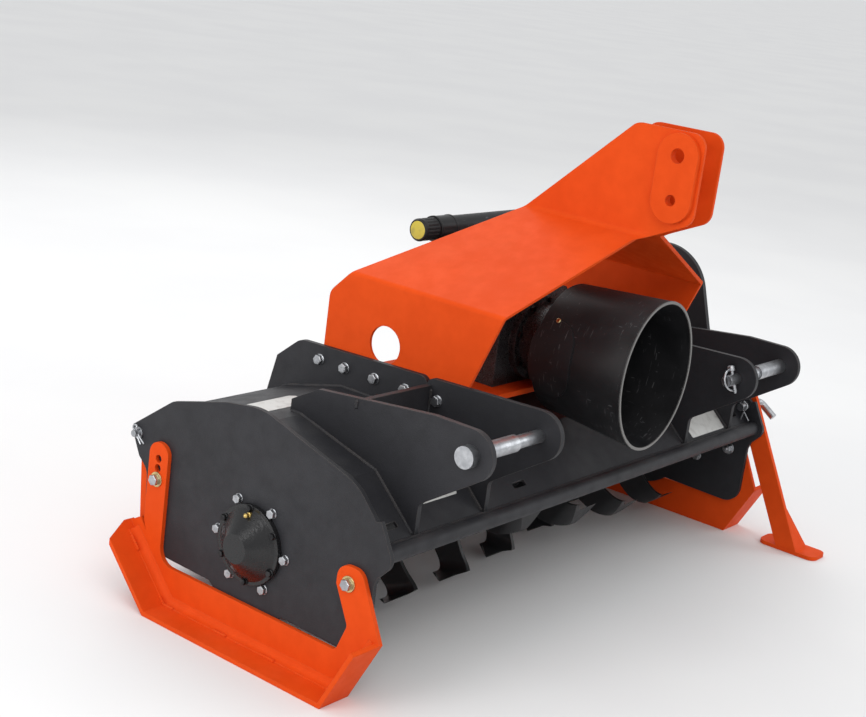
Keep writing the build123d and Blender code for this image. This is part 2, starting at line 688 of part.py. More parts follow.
# Domed bearing cap on the outside, hollow round the shaft's end
with BuildPart() as bearing_cap:
    with BuildSketch(Plane(origin=(-OUTER_FACE, ROTOR_Y, ROTOR_Z), x_dir=(-1, 0, 0), z_dir=(0, -1, 0))):
        with BuildLine():
            Polyline(
                (0, 0), (0, CAP_RADIUS), (CAP_FLANGE, CAP_RADIUS), (CAP_FLANGE, CAP_RADIUS - CAP_STEP),
                (CAP_HEIGHT, CAP_FACE_RADIUS), (CAP_HEIGHT, 0), close=True,
            )
        make_face()
    revolve(axis=Axis((-OUTER_FACE, ROTOR_Y, ROTOR_Z), (1, 0, 0)))
    with BuildSketch(side(-OUTER_FACE)):
        with Locations((0, ROTOR_Z)):
            Circle(STUB_RADIUS + CAP_SPACE)
    extrude(amount=-(STUB_INTO_CAP + CAP_SPACE), mode=Mode.SUBTRACT)
pieces["bearing_cap"] = bearing_cap

# Skid: a runner that turns up at both ends, with a plate of two arms on its inner edge
with BuildPart() as skid_near:
    with BuildSketch(side(-HALF_WIDTH)):
        with BuildLine():
            Polyline(
                RUNNER_FRONT_TIP, (RUNNER_FRONT, 0), (RUNNER_REAR, 0), RUNNER_REAR_TIP,
            )
            offset(amount=RUNNER_THICK, side=Side.LEFT, kind=Kind.INTERSECTION)
        make_face()
    extrude(amount=RUNNER_WIDTH + SKID_PLATE)
    with BuildSketch():
        with BuildLine():
            Polyline(
                (-HALF_WIDTH, ROTOR_Y + RUNNER_REAR_OUTER), (-SKID_FACE, ROTOR_Y + RUNNER_REAR_TIP[0]),
                (-HALF_WIDTH, ROTOR_Y + RUNNER_REAR_TIP[0]), close=True,
            )
        make_face()
    extrude(amount=2 * RUNNER_REAR_TIP[1], mode=Mode.SUBTRACT)
    with BuildSketch(side(-SKID_FACE)) as skid_outline:
        with BuildLine():
            Polyline(
                RUNNER_FRONT_TIP, (RUNNER_FRONT, 0), (RUNNER_REAR, 0), RUNNER_REAR_TIP,
                SKID_REAR_EAR, SKID_REAR_NOTCH, (SKID_REAR_ARM[1], SKID_REAR_NOTCH[1] + SKID_STEP),
                (SKID_REAR_ARM[1], SKID_REAR_TOP), (SKID_REAR_ARM[0], SKID_REAR_TOP),
                (SKID_REAR_ARM[0], SKID_WEB), (SKID_FRONT_WAIST[0] + SKID_STEP, SKID_WEB),
                SKID_FRONT_WAIST, (SKID_FRONT_ARM[1], SKID_FRONT_TOP - 2 * SKID_STEP),
                (SKID_FRONT_ARM[1], SKID_FRONT_TOP), (SKID_FRONT_ARM[0], SKID_FRONT_TOP), close=True,
            )
        make_face()
        for corner, radius in (
            ((SKID_REAR_ARM[1], SKID_REAR_TOP), SKID_REAR_ROUND),
            ((SKID_REAR_ARM[0], SKID_REAR_TOP), SKID_REAR_ROUND),
            ((SKID_REAR_ARM[0], SKID_WEB), SKID_WINDOW_ROUND),
            ((SKID_FRONT_WAIST[0] + SKID_STEP, SKID_WEB), SKID_SOFT),
            (SKID_FRONT_WAIST, SKID_SOFT),
            ((SKID_FRONT_ARM[1], SKID_FRONT_TOP), SKID_FRONT_ROUND),
            ((SKID_FRONT_ARM[0], SKID_FRONT_TOP), SKID_FRONT_ROUND),
        ):
            fillet(skid_outline.vertices().sort_by_distance(corner)[0], radius)
        with Locations(*[(SKID_HOLE_BACK, high) for high in SKID_HOLES_HIGH]):
            Circle(SKID_HOLE_RADIUS, mode=Mode.SUBTRACT)
    extrude(amount=SKID_PLATE)
pieces["skid_near"] = skid_near

# Mirror the pieces that are alike on both sides
for name in (
    "deck_rib", "hitch_inner", "hitch_outer", "hitch_gusset", "hitch_pin",
    "frame_plate", "mast_doubler", "skid",
):
    with BuildPart() as twin:
        mirror(pieces[name + "_near"].part, about=Plane.YZ)
    pieces[name + "_far"] = twin

# Hinge rod of the tail door, through both end plates
with BuildPart() as hinge_rod:
    with BuildSketch(side(-OUTER_FACE - ROD_PROUD)):
        with Locations(HINGE_AT):
            Circle(HINGE_ROD_RADIUS)
    extrude(amount=2 * (OUTER_FACE + ROD_PROUD))
pieces["hinge_rod"] = hinge_rod

# Tail door: a sheet that hangs from the rod, with end flanges and knuckles
door_head = (HINGE_AT[0] + KNUCKLE_RADIUS / 2, HINGE_AT[1] - KNUCKLE_RADIUS + DOOR_THICK / 2)
with BuildPart() as tail_door:
    with BuildSketch(side(-DOOR_HALF)):
        with BuildLine():
            Polyline(door_head, DOOR_FOOT, DOOR_KICK)
            offset(amount=DOOR_THICK, side=Side.RIGHT, kind=Kind.INTERSECTION)
        make_face()
    extrude(amount=2 * DOOR_HALF)
    for edge in (-DOOR_HALF, DOOR_HALF - DOOR_THICK):
        with BuildSketch(side(edge)):
            with BuildLine():
                Polyline(
                    door_head, DOOR_FOOT, (DOOR_FOOT[0] - DOOR_FLANGE, DOOR_FOOT[1]),
                    (door_head[0] - DOOR_FLANGE, door_head[1] - DOOR_DROP), close=True,
                )
            make_face()
        extrude(amount=DOOR_THICK)
    for knuckle_x in (KNUCKLE_INSET - DOOR_HALF, 0, DOOR_HALF - KNUCKLE_INSET):
        with Locations((knuckle_x, ROTOR_Y + HINGE_AT[0], HINGE_AT[1])):
            Cylinder(KNUCKLE_RADIUS, KNUCKLE_LENGTH, rotation=(0, 90, 0))
    with BuildSketch(side(-OUTER_FACE)):
        with Locations(HINGE_AT):
            Circle(HINGE_ROD_RADIUS + RUNNING_GAP)
    extrude(amount=2 * OUTER_FACE, mode=Mode.SUBTRACT)
pieces["tail_door"] = tail_door

# One tine: an L-bent band cut to a swept side outline, pointing up from the rotor axis
with BuildPart() as tine:
    with BuildSketch(Plane.XZ.offset(-TIP_RADIUS)):
        with BuildLine():
            FilletPolyline(
                (0, TINE_ROOT), (0, TIP_RADIUS), (TINE_REACH, TIP_RADIUS), radius=TINE_BEND,
            )
            offset(amount=TINE_THICK, side=Side.RIGHT, kind=Kind.INTERSECTION)
        make_face()
    extrude(amount=2 * TIP_RADIUS)
    with BuildSketch(Plane.YZ) as tine_outline:
        with BuildLine():
            Line((TINE_WIDTH / 2, TINE_ROOT), (-TINE_WIDTH / 2, TINE_ROOT))
            ThreePointArc(
                (-TINE_WIDTH / 2, TINE_ROOT), (TINE_BOW - TINE_WIDTH / 2, (TINE_ROOT + TIP_RADIUS) / 2),
                (TINE_LEAD - TINE_WIDTH / 2, TIP_RADIUS),
            )
            Line((TINE_LEAD - TINE_WIDTH / 2, TIP_RADIUS), (TINE_LEAD + TINE_WIDTH / 2, TIP_RADIUS))
            ThreePointArc(
                (TINE_LEAD + TINE_WIDTH / 2, TIP_RADIUS),
                (TINE_BOW + TINE_WIDTH / 2, (TINE_ROOT + TIP_RADIUS) / 2),
                (TINE_WIDTH / 2, TINE_ROOT),
            )
        make_face()
        Circle(TIP_RADIUS, mode=Mode.INTERSECT)
    extrude(amount=TINE_REACH, mode=Mode.INTERSECT)
    with BuildSketch(Plane.XY):
        with BuildLine():
            Polyline(
                (TINE_REACH - TINE_TAPER, -TIP_RADIUS), (TINE_REACH, -TIP_RADIUS),
                (TINE_REACH, TINE_LEAD + TINE_WIDTH / 2 - TINE_TIP),
                (TINE_REACH - TINE_TAPER, TINE_LEAD - TINE_WIDTH / 2), close=True,
            )
        make_face()
    extrude(amount=TIP_RADIUS, mode=Mode.SUBTRACT)

# Rotor: tube, stub shafts and flanges with their tines
with BuildPart() as rotor:
    with BuildSketch(side(-ROTOR_HALF)):
        with Locations((0, ROTOR_Z)):
            Circle(ROTOR_TUBE_RADIUS)
    extrude(amount=2 * ROTOR_HALF)
    with BuildSketch(side(-OUTER_FACE - STUB_INTO_CAP)):
        with Locations((0, ROTOR_Z)):
            Circle(STUB_RADIUS)
    extrude(amount=2 * OUTER_FACE + STUB_INTO_CAP + CASE_PLATE + STUB_INTO_COVER)
    for number in range(FLANGE_COUNT):
        flange_x = (number - (FLANGE_COUNT - 1) / 2) * FLANGE_PITCH
        with BuildSketch(side(flange_x - FLANGE_THICK / 2)):
            with Locations((0, ROTOR_Z)):
                Circle(FLANGE_RADIUS)
        extrude(amount=FLANGE_THICK)
        for turn in range(TINES_PER_FLANGE):
            angle = TINE_PHASE + number * FLANGE_TWIST + turn * 360 / TINES_PER_FLANGE
            flip = turn % 2 == 0
            start = -FLANGE_THICK / 2 if flip else FLANGE_THICK / 2
            spot = Location((flange_x + start, ROTOR_Y, ROTOR_Z), (angle, 0, 0))
            if flip:
                add(mirror(tine.part, about=Plane.YZ, mode=Mode.PRIVATE).moved(spot))
            else:
                add(tine.part.moved(spot))
pieces["rotor"] = rotor

# Parking stand: a flat leg on its pin, outside the far end plate
leg_face = OUTER_FACE + STAND_GAP
lean = radians(STAND_LEAN)
across = (LEG_WIDTH / 2 * cos(lean), LEG_WIDTH / 2 * sin(lean))
leg_head = (STAND_PIVOT[0] + LEG_HEAD * sin(lean), STAND_PIVOT[1] + LEG_HEAD * cos(lean))
with BuildPart() as stand_leg:
    with BuildSketch(side(leg_face)):
        with BuildLine():
            Polyline(
                (leg_head[0] + across[0], leg_head[1] - across[1]),
                (leg_head[0] - across[0], leg_head[1] + across[1]),
                (LEG_FOOT - LEG_WIDTH / 2 / cos(lean), FOOT_THICK),
                (LEG_FOOT + LEG_WIDTH / 2 / cos(lean), FOOT_THICK), close=True,
            )
        make_face()
        with Locations(leg_head):
            Circle(LEG_WIDTH / 2)
        with Locations(STAND_PIVOT):
            Circle(LOCK_PIN_RADIUS + LOCK_PIN_GAP, mode=Mode.SUBTRACT)
    extrude(amount=LEG_THICK)
pieces["stand_leg"] = stand_leg

# Foot of the stand, with a gusset up the front of the leg's outer face
with BuildPart() as stand_foot:
    with BuildSketch():
        with Locations((HALF_WIDTH - FOOT_WIDTH / 2, ROTOR_Y + LEG_FOOT)):
            RectangleRounded(FOOT_WIDTH, 2 * FOOT_REACH, FOOT_ROUND)
    extrude(amount=FOOT_THICK)
    leg_front = LEG_FOOT - (LEG_WIDTH - FOOT_THICK) / 2 / cos(lean)
    gusset_plane = Plane(
        origin=(leg_face + LEG_THICK, ROTOR_Y + leg_front, FOOT_THICK),
        x_dir=(1, 0, 0), z_dir=(0, -cos(lean), sin(lean)),
    )
    with BuildSketch(gusset_plane):
        with BuildLine():
            Polyline(
                (0, -FOOT_THICK / 2), (HALF_WIDTH - FOOT_ROUND / 2 - leg_face - LEG_THICK, -FOOT_THICK / 2),
                (0, FOOT_GUSSET), close=True,
            )
        make_face()
    extrude(amount=FOOT_THICK / 2, both=True)
    with BuildSketch(Plane.XY):
        with Locations((HALF_WIDTH, ROTOR_Y + LEG_FOOT)):
            Rectangle(2 * FOOT_WIDTH, 4 * FOOT_REACH)
    extrude(amount=-FOOT_THICK, mode=Mode.SUBTRACT)
pieces["stand_foot"] = stand_foot

# Bent pin that the stand turns on
elbow = (leg_face + LEG_THICK + LOCK_PIN_REACH, ROTOR_Y + STAND_PIVOT[0], STAND_PIVOT[1])
with BuildPart() as lock_pin:
    with BuildLine():
        FilletPolyline(
            (INNER_HALF - LOCK_PIN_TAIL, elbow[1], elbow[2]), elbow,
            (elbow[0], elbow[1] - LOCK_HANDLE[0], elbow[2] - LOCK_HANDLE[1]),
            radius=LOCK_BEND,
        )
    with BuildSketch(side(INNER_HALF - LOCK_PIN_TAIL)):
        with Locations(STAND_PIVOT):
            Circle(LOCK_PIN_RADIUS)
    sweep()
pieces["lock_pin"] = lock_pin

# Document canister with its collar, and the cap on the near end
collar_near = CANISTER_NEAR + CANISTER_CAP
with BuildPart() as canister_tube:
    with BuildSketch(side(collar_near)):
        with Locations(CANISTER_AT):
            Circle(CANISTER_COLLAR_RADIUS)
    extrude(amount=CANISTER_COLLAR)
    with BuildSketch(side(collar_near)):
        with Locations(CANISTER_AT):
            Circle(CANISTER_RADIUS)
    extrude(amount=CANISTER_FAR - collar_near)
pieces["canister_tube"] = canister_tube
with BuildPart() as canister_cap:
    with BuildSketch(side(CANISTER_NEAR)):
        with Locations(CANISTER_AT):
            Circle(CANISTER_RADIUS)
    extrude(amount=CANISTER_CAP)
pieces["canister_cap"] = canister_cap

# Bracket from the gearbox up to the canister, with a round seat
with BuildPart() as canister_bracket:
    with BuildSketch(side(-BRACKET_WIDTH / 2)):
        with BuildLine():
            Polyline(
                (GEARBOX_REAR, DRIVE_AT[1]), (GEARBOX_REAR + BRACKET_THICK, DRIVE_AT[1]),
                (GEARBOX_REAR + BRACKET_THICK, CANISTER_AT[1]), (GEARBOX_REAR, CANISTER_AT[1]), close=True,
            )
        make_face()
        with Locations(CANISTER_AT):
            Circle(CANISTER_RADIUS + SEAT_GAP, mode=Mode.SUBTRACT)
    extrude(amount=BRACKET_WIDTH)
pieces["canister_bracket"] = canister_bracket

os.makedirs("parts", exist_ok=True)
for node, piece in pieces.items():
    piece.part.label = node
    export_step(piece.part, f"parts/{node}.step")
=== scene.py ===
"""Looks of a rotary tiller: finishes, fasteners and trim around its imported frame, with camera and light."""
from __future__ import annotations

import json
import logging
import math
from dataclasses import dataclass
from enum import Enum
from typing import Any, Callable, Iterable, Sequence

import bmesh
import bpy
from mathutils import Matrix, Vector

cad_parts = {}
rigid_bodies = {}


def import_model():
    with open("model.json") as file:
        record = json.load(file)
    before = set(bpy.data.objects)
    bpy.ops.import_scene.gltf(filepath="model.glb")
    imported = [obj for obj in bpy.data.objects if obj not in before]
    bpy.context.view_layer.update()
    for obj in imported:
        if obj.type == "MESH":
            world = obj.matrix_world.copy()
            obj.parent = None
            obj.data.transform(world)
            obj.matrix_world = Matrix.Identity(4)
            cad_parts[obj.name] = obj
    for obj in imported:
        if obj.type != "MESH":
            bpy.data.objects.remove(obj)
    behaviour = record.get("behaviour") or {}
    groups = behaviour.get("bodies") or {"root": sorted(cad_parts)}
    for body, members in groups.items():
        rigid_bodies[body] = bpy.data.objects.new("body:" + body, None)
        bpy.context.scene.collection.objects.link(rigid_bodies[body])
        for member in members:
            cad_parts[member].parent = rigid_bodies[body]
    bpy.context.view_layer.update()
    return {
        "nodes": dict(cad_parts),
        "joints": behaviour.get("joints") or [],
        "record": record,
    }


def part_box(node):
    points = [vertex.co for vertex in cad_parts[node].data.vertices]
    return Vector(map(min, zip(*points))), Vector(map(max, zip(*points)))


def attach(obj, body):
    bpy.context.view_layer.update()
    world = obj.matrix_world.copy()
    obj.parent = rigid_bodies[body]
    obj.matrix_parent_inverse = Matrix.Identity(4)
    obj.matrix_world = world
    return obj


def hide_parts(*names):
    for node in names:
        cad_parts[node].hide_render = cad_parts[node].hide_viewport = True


LOG = logging.getLogger("tiller")
MM = 0.001
SHARP_ANGLE = math.radians(35)
TAU = 2 * math.pi
SIDES = ((-1, "near"), (1, "far"))
MIX_UNDER, MIX_OVER, MIX_COLOUR = 6, 7, 2

Pair = tuple[float, float]
Triple = tuple[float, float, float]
Colour = Triple
Profile = tuple[Pair, ...]


class Slot(Enum):
    """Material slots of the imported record."""

    ORANGE = "orange_coat"
    DARK = "dark_coat"
    CASTING = "casting"
    ZINC = "zinc"
    STEEL = "bare_steel"
    PLASTIC = "black_plastic"
    TINE = "tine_coat"


class Body(Enum):
    """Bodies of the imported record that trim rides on."""

    FRAME = "frame"
    ROTOR = "rotor"
    INPUT = "input"


def operator(operation: str, swapped: bool = False) -> Callable[[Wire, Any], Wire]:
    """An operator between wires and numbers that adds a Math node.

    Args:
        operation: Blender's name of the operation.
        swapped: Whether the other operand comes first.

    Returns:
        The operator, as a method of wires.
    """
    def apply(wire: Wire, other: Any) -> Wire:
        """Add the node."""
        first, second = (other, wire) if swapped else (wire, other)
        return wire.tree.node("ShaderNodeMath", {"operation": operation}, {0: first, 1: second})

    return apply


class Wire:
    """An output socket of a shader tree, with arithmetic that adds Math nodes."""

    def __init__(self, tree: Tree, socket: bpy.types.NodeSocket) -> None:
        """Keep the socket and the tree that it belongs to."""
        self.tree = tree
        self.socket = socket

    __add__, __radd__ = operator("ADD"), operator("ADD", True)
    __sub__, __rsub__ = operator("SUBTRACT"), operator("SUBTRACT", True)
    __mul__, __rmul__ = operator("MULTIPLY"), operator("MULTIPLY", True)
    __gt__, __lt__ = operator("GREATER_THAN"), operator("LESS_THAN")

    def span(self, low: float, high: float, start: float = 0.0, end: float = 1.0) -> Wire:
        """Map the range from low to high onto the one from start to end, held at its ends."""
        inputs = {"Value": self, "From Min": low, "From Max": high, "To Min": start, "To Max": end}
        return self.tree.node("ShaderNodeMapRange", {"interpolation_type": "SMOOTHSTEP"}, inputs)

    def blend(self, under: Any, over: Any) -> Wire:
        """Mix two colours: the one under where this is zero, the one over where it is one."""
        inputs = {0: self, MIX_UNDER: under, MIX_OVER: over}
        return self.tree.node("ShaderNodeMix", {"data_type": "RGBA"}, inputs, MIX_COLOUR)


class Tree:
    """A material's node tree with one principled shader."""

    def __init__(self, name: str) -> None:
        """Make an empty material.

        Args:
            name: Name of the material.
        """
        self.material = bpy.data.materials.new(name)
        self.material.use_nodes = True
        self.nodes = self.material.node_tree.nodes
        self.links = self.material.node_tree.links
        self.nodes.clear()
        output = self.nodes.new("ShaderNodeOutputMaterial")
        self.shader = self.nodes.new("ShaderNodeBsdfPrincipled")
        self.links.new(self.shader.outputs["BSDF"], output.inputs["Surface"])
        self.place = self.node("ShaderNodeTexCoord", {}, {}, "Object")

    def _feed(self, socket: bpy.types.NodeSocket, value: Any) -> None:
        """Link a wire to a socket, or set the socket's own value.

        Args:
            socket: Socket that is fed.
            value: Wire, number, vector or colour.
        """
        if isinstance(value, Wire):
            self.links.new(value.socket, socket)
        elif socket.type == "RGBA":
            socket.default_value = (*value[:3], 1.0)
        else:
            socket.default_value = value

    def node(self, kind: str, settings: dict[str, Any], inputs: dict[Any, Any], output: Any = 0) -> Wire:
        """Add a node.

        Args:
            kind: Blender's name of the node type.
            settings: Attributes of the node, set first.
            inputs: Values or wires of its sockets, by name or number.
            output: Name or number of the output that is returned.

        Returns:
            The chosen output.
        """
        made = self.nodes.new(kind)
        for key, value in settings.items():
            setattr(made, key, value)
        for key, value in inputs.items():
            self._feed(made.inputs[key], value)
        return Wire(self, made.outputs[output])

    def noise(self, scale: float, detail: float, stretch: Triple | None = None) -> Wire:
        """Noise over the row frame.

        Args:
            scale: Waves per metre.
            detail: Number of finer layers.
            stretch: Factors on the three axes.

        Returns:
            A value about 0.5.
        """
        inputs = {"Vector": self.place, "Scale": stretch}
        at = self.node("ShaderNodeMapping", {}, inputs) if stretch else self.place
        return self.node("ShaderNodeTexNoise", {}, {"Vector": at, "Scale": scale, "Detail": detail}, "Fac")

    def cells(self, scale: float) -> Wire:
        """Distance to the nearest of scattered points, with that many points per metre."""
        inputs = {"Vector": self.place, "Scale": scale}
        return self.node("ShaderNodeTexVoronoi", {}, inputs, "Distance")

    def axis(self, number: int) -> Wire:
        """One coordinate of the row frame, in metres."""
        return self.node("ShaderNodeSeparateXYZ", {}, {0: self.place}, number)

    def facing(self, number: int) -> Wire:
        """One component of the surface's own normal."""
        normal = self.node("ShaderNodeNewGeometry", {}, {}, "True Normal")
        return self.node("ShaderNodeSeparateXYZ", {}, {0: normal}, number)

    def rounded(self, radius: float) -> Wire:
        """Normals that round the sharp edges of plates by a radius in metres."""
        return self.node("ShaderNodeBevel", {"samples": 4}, {"Radius": radius}, "Normal")

    def edges(self, normal: Wire) -> Wire:
        """How much a rounded normal leaves the surface's own one, which marks edges.

        Args:
            normal: The rounded normal.

        Returns:
            One at edges, zero elsewhere.
        """
        own = self.node("ShaderNodeNewGeometry", {}, {}, "True Normal")
        same = self.node("ShaderNodeVectorMath", {"operation": "DOT_PRODUCT"}, {0: normal, 1: own}, "Value")
        return (1 - same).span(0.01, 0.16)

    def bump(self, height: Wire, strength: float, depth: float, normal: Wire | None = None) -> Wire:
        """Relief from a height.

        Args:
            height: Value between zero and one.
            strength: Share of the relief that shows.
            depth: Size of the relief in metres.
            normal: Normal that the relief is laid on.

        Returns:
            The new normal.
        """
        under = {} if normal is None else {"Normal": normal}
        inputs = {"Strength": strength, "Distance": depth, "Height": height, **under}
        return self.node("ShaderNodeBump", {}, inputs)

    def finish(self, **sockets: Any) -> bpy.types.Material:
        """Feed the principled shader.

        Args:
            **sockets: Values or wires, named as the sockets with underscores for blanks.

        Returns:
            The material.
        """
        for name, value in sockets.items():
            self._feed(self.shader.inputs[name.replace("_", " ").title()], value)
        return self.material


@dataclass(frozen=True)
class PowderCoat:
    """Powder coat: a grained skin with paler edges, part wear and part painted highlight, and a little dust
    on what faces up.
    """

    name: str
    colour: Colour
    shade: Colour
    edge: Colour
    dust: Colour
    grain: float
    relief: float
    rough: Pair
    edge_share: float
    dust_share: float
    gloss: float = 0.4

    def build(self) -> bpy.types.Material:
        """Make the material.

        Returns:
            The material.
        """
        tree = Tree(self.name)
        tree.shader.inputs["Specular IOR Level"].default_value = self.gloss
        normal = tree.rounded(1.6 * MM)
        edge = tree.edges(normal)
        broad = tree.noise(5.0, 4.0)
        patch = tree.noise(38.0, 3.0)
        grain = tree.noise(self.grain, 2.0)
        colour = (broad * 0.6 + patch * 0.4).span(0.34, 0.66).blend(self.colour, self.shade)
        # paler edges: part wear, part painted highlight where plate edges catch the light
        worn = edge * patch.span(0.35, 0.6) * self.edge_share
        colour = worn.blend(colour, self.edge)
        settled = tree.facing(2).span(0.5, 1.0) * tree.noise(16.0, 5.0).span(0.42, 0.72) * self.dust_share
        colour = settled.blend(colour, self.dust)
        rough = (patch * 0.6 + grain * 0.4).span(0.3, 0.7, *self.rough) + settled * 0.5
        relief = tree.bump(grain, 0.6, self.relief, normal)
        return tree.finish(base_color=colour, roughness=rough, normal=relief)


@dataclass(frozen=True)
class Plating:
    """Plated or machined steel with fine tool marks."""

    name: str
    bright: Colour
    dull: Colour
    rough: Pair = (0.22, 0.42)

    def build(self) -> bpy.types.Material:
        """Make the material.

        Returns:
            The material.
        """
        tree = Tree(self.name)
        normal = tree.rounded(0.8 * MM)
        cloud = tree.noise(70.0, 4.0)
        marks = tree.noise(700.0, 2.0)
        colour = cloud.span(0.32, 0.68).blend(self.bright, self.dull)
        rough = (cloud * 0.5 + marks * 0.5).span(0.3, 0.7, *self.rough)
        relief = tree.bump(marks, 0.35, 0.00012, normal)
        return tree.finish(base_color=colour, metallic=1.0, roughness=rough, normal=relief)


@dataclass(frozen=True)
class Casting:
    """Black-painted sand casting with a coarse skin, a painted highlight on its edges and painted glints in
    its grain.
    """

    name: str
    colour: Colour
    pale: Colour

    def build(self) -> bpy.types.Material:
        """Make the material.

        Returns:
            The material.
        """
        tree = Tree(self.name)
        normal = tree.rounded(3.0 * MM)
        coarse = tree.noise(330.0, 3.0)
        pits = tree.cells(420.0)
        cloud = tree.noise(22.0, 4.0)
        edge = tree.edges(normal)
        colour = (coarse * 0.5 + cloud * 0.5).span(0.4, 0.68).blend(self.colour, self.pale)
        # painted highlight: edges coloured paler grey
        colour = (edge * 0.3).blend(colour, (0.09, 0.09, 0.095))
        # painted glints: pale specks that stand in for the sparkle of reflected light
        painted_glints = tree.noise(640.0, 1.0).span(0.6, 0.72) * coarse.span(0.42, 0.6)
        colour = (painted_glints * 0.7).blend(colour, (0.22, 0.22, 0.225))
        skin = coarse * 0.7 + pits.span(0.0, 0.6) * 0.3
        rough = coarse.span(0.3, 0.7, 0.24, 0.5)
        return tree.finish(base_color=colour, roughness=rough, normal=tree.bump(skin, 1.0, 0.0022, normal))


@dataclass(frozen=True)
class Plastic:
    """Black moulded plastic, scuffed by long scratches, with the forward-facing faces of its front rim
    coloured paler.
    """

    name: str
    colour: Colour
    scuff: Colour
    rim: Colour
    rim_at: float
    rough: Pair = (0.36, 0.55)
    gloss: float = 0.3

    def build(self) -> bpy.types.Material:
        """Make the material.

        Returns:
            The material.
        """
        tree = Tree(self.name)
        tree.shader.inputs["Specular IOR Level"].default_value = self.gloss
        normal = tree.rounded(1.0 * MM)
        cloud = tree.noise(14.0, 4.0)
        along = tree.noise(60.0, 3.0, (0.9, 5.0, 0.5))
        across = tree.noise(90.0, 4.0, (4.0, 0.5, 1.4))
        scratch = (along > 0.665) * cloud.span(0.42, 0.62) + (across > 0.69) * cloud.span(0.36, 0.6)
        fine = tree.noise(520.0, 2.0)
        colour = cloud.span(0.35, 0.7).blend(self.colour, tuple(1.6 * c for c in self.colour))
        colour = (scratch * 0.55).blend(colour, self.scuff)
        # forward-facing faces at the front rim are coloured paler
        cut = (tree.axis(1) < self.rim_at) * (tree.facing(1) < -0.5)
        colour = cut.blend(colour, self.rim)
        rough = (cloud * 0.7 + fine * 0.3).span(0.3, 0.7, *self.rough) + scratch * 0.08
        return tree.finish(base_color=colour, roughness=rough, normal=tree.bump(fine, 0.4, 0.0002, normal))


@dataclass(frozen=True)
class Vinyl:
    """Plain printed film, blank, with faint soiling."""

    name: str
    colour: Colour
    soil: Colour
    rough: Pair = (0.3, 0.45)

    def build(self) -> bpy.types.Material:
        """Make the material.

        Returns:
            The material.
        """
        tree = Tree(self.name)
        cloud = tree.noise(60.0, 5.0)
        fine = tree.noise(400.0, 2.0)
        colour = cloud.span(0.45, 0.75).blend(self.colour, self.soil)
        rough = fine.span(0.3, 0.7, *self.rough)
        return tree.finish(base_color=colour, roughness=rough, normal=tree.bump(cloud, 0.2, 0.0002))


class Paint:
    """All finishes of the machine, made once."""

    def __init__(self, shield_front: float) -> None:
        """Build every material.

        Args:
            shield_front: Place of the shaft tube's front rim along the second axis.
        """
        self.orange = PowderCoat(
            "orange_powder_coat", (0.75, 0.079, 0.010), (0.68, 0.067, 0.008), (0.86, 0.22, 0.08),
            (0.66, 0.26, 0.13), 380.0, 0.00022, (0.42, 0.54), 0.3, 0.03, 0.05).build()
        self.dark = PowderCoat(
            "dark_textured_coat", (0.024, 0.024, 0.028), (0.018, 0.018, 0.021), (0.15, 0.125, 0.11),
            (0.12, 0.115, 0.11), 520.0, 0.00045, (0.46, 0.60), 0.55, 0.14, 0.3).build()
        self.tine = PowderCoat(
            "tine_paint", (0.022, 0.022, 0.024), (0.014, 0.014, 0.016), (0.16, 0.155, 0.15),
            (0.10, 0.095, 0.09), 260.0, 0.0003, (0.30, 0.46), 0.6, 0.12).build()
        self.cap = PowderCoat(
            "cap_enamel", (0.012, 0.012, 0.013), (0.009, 0.009, 0.010), (0.07, 0.07, 0.072),
            (0.07, 0.068, 0.065), 240.0, 0.0004, (0.18, 0.32), 0.4, 0.06, 0.42).build()
        self.casting = Casting("black_casting", (0.010, 0.010, 0.011), (0.030, 0.030, 0.032)).build()
        self.plastic = Plastic(
            "shaft_tube_plastic", (0.009, 0.009, 0.010), (0.13, 0.13, 0.135), (0.17, 0.165, 0.16),
            shield_front + 1.5 * MM).build()
        self.zinc = Plating("bright_zinc", (0.50, 0.51, 0.53), (0.36, 0.37, 0.39), (0.26, 0.46)).build()
        self.yellow_zinc = Plating("yellow_zinc", (0.66, 0.50, 0.22), (0.52, 0.42, 0.24)).build()
        self.steel = Plating("machined_steel", (0.52, 0.52, 0.53), (0.40, 0.40, 0.41), (0.26, 0.4)).build()
        self.brass = Plating("brass", (0.74, 0.55, 0.20), (0.58, 0.42, 0.14), (0.2, 0.34)).build()
        self.black_bolt = Plating(
            "black_oxide", (0.06, 0.06, 0.062), (0.035, 0.035, 0.037), (0.32, 0.5)).build()
        self.label = Vinyl("blank_label", (0.60, 0.60, 0.58), (0.47, 0.46, 0.44)).build()
        self.yellow = Vinyl("yellow_disc", (0.58, 0.47, 0.05), (0.40, 0.33, 0.05)).build()

    def by_slot(self) -> dict[str, bpy.types.Material]:
        """Material of each slot of the record."""
        finishes = (self.orange, self.dark, self.casting, self.zinc, self.steel, self.plastic, self.tine)
        return {slot.value: finish for slot, finish in zip(Slot, finishes)}


def axes_at(origin: Vector, *axes: Sequence[float]) -> Matrix:
    """A place with given axes.

    Args:
        origin: Where the place is.
        *axes: Its three axes, of length one.

    Returns:
        The place as a matrix.
    """
    place = Matrix(axes).transposed().to_4x4()
    place.translation = origin
    return place


def polar(spots: Iterable[Pair]) -> list[Pair]:
    """Points from their angles and distances."""
    return [(reach * math.cos(angle), reach * math.sin(angle)) for angle, reach in spots]


def circle(radius: float, sides: int, turn: float = 0.0) -> list[Pair]:
    """Points of a regular outline, from an angle on."""
    return polar((turn + TAU * i / sides, radius) for i in range(sides))


def dial(radius: float, count: int, first: float, step: float) -> list[Pair]:
    """Points as on a clock, from a first angle on by steps in degrees: distance aside and up."""
    angles = [math.radians(first + step * k) for k in range(count)]
    return [(radius * math.sin(angle), radius * math.cos(angle)) for angle in angles]


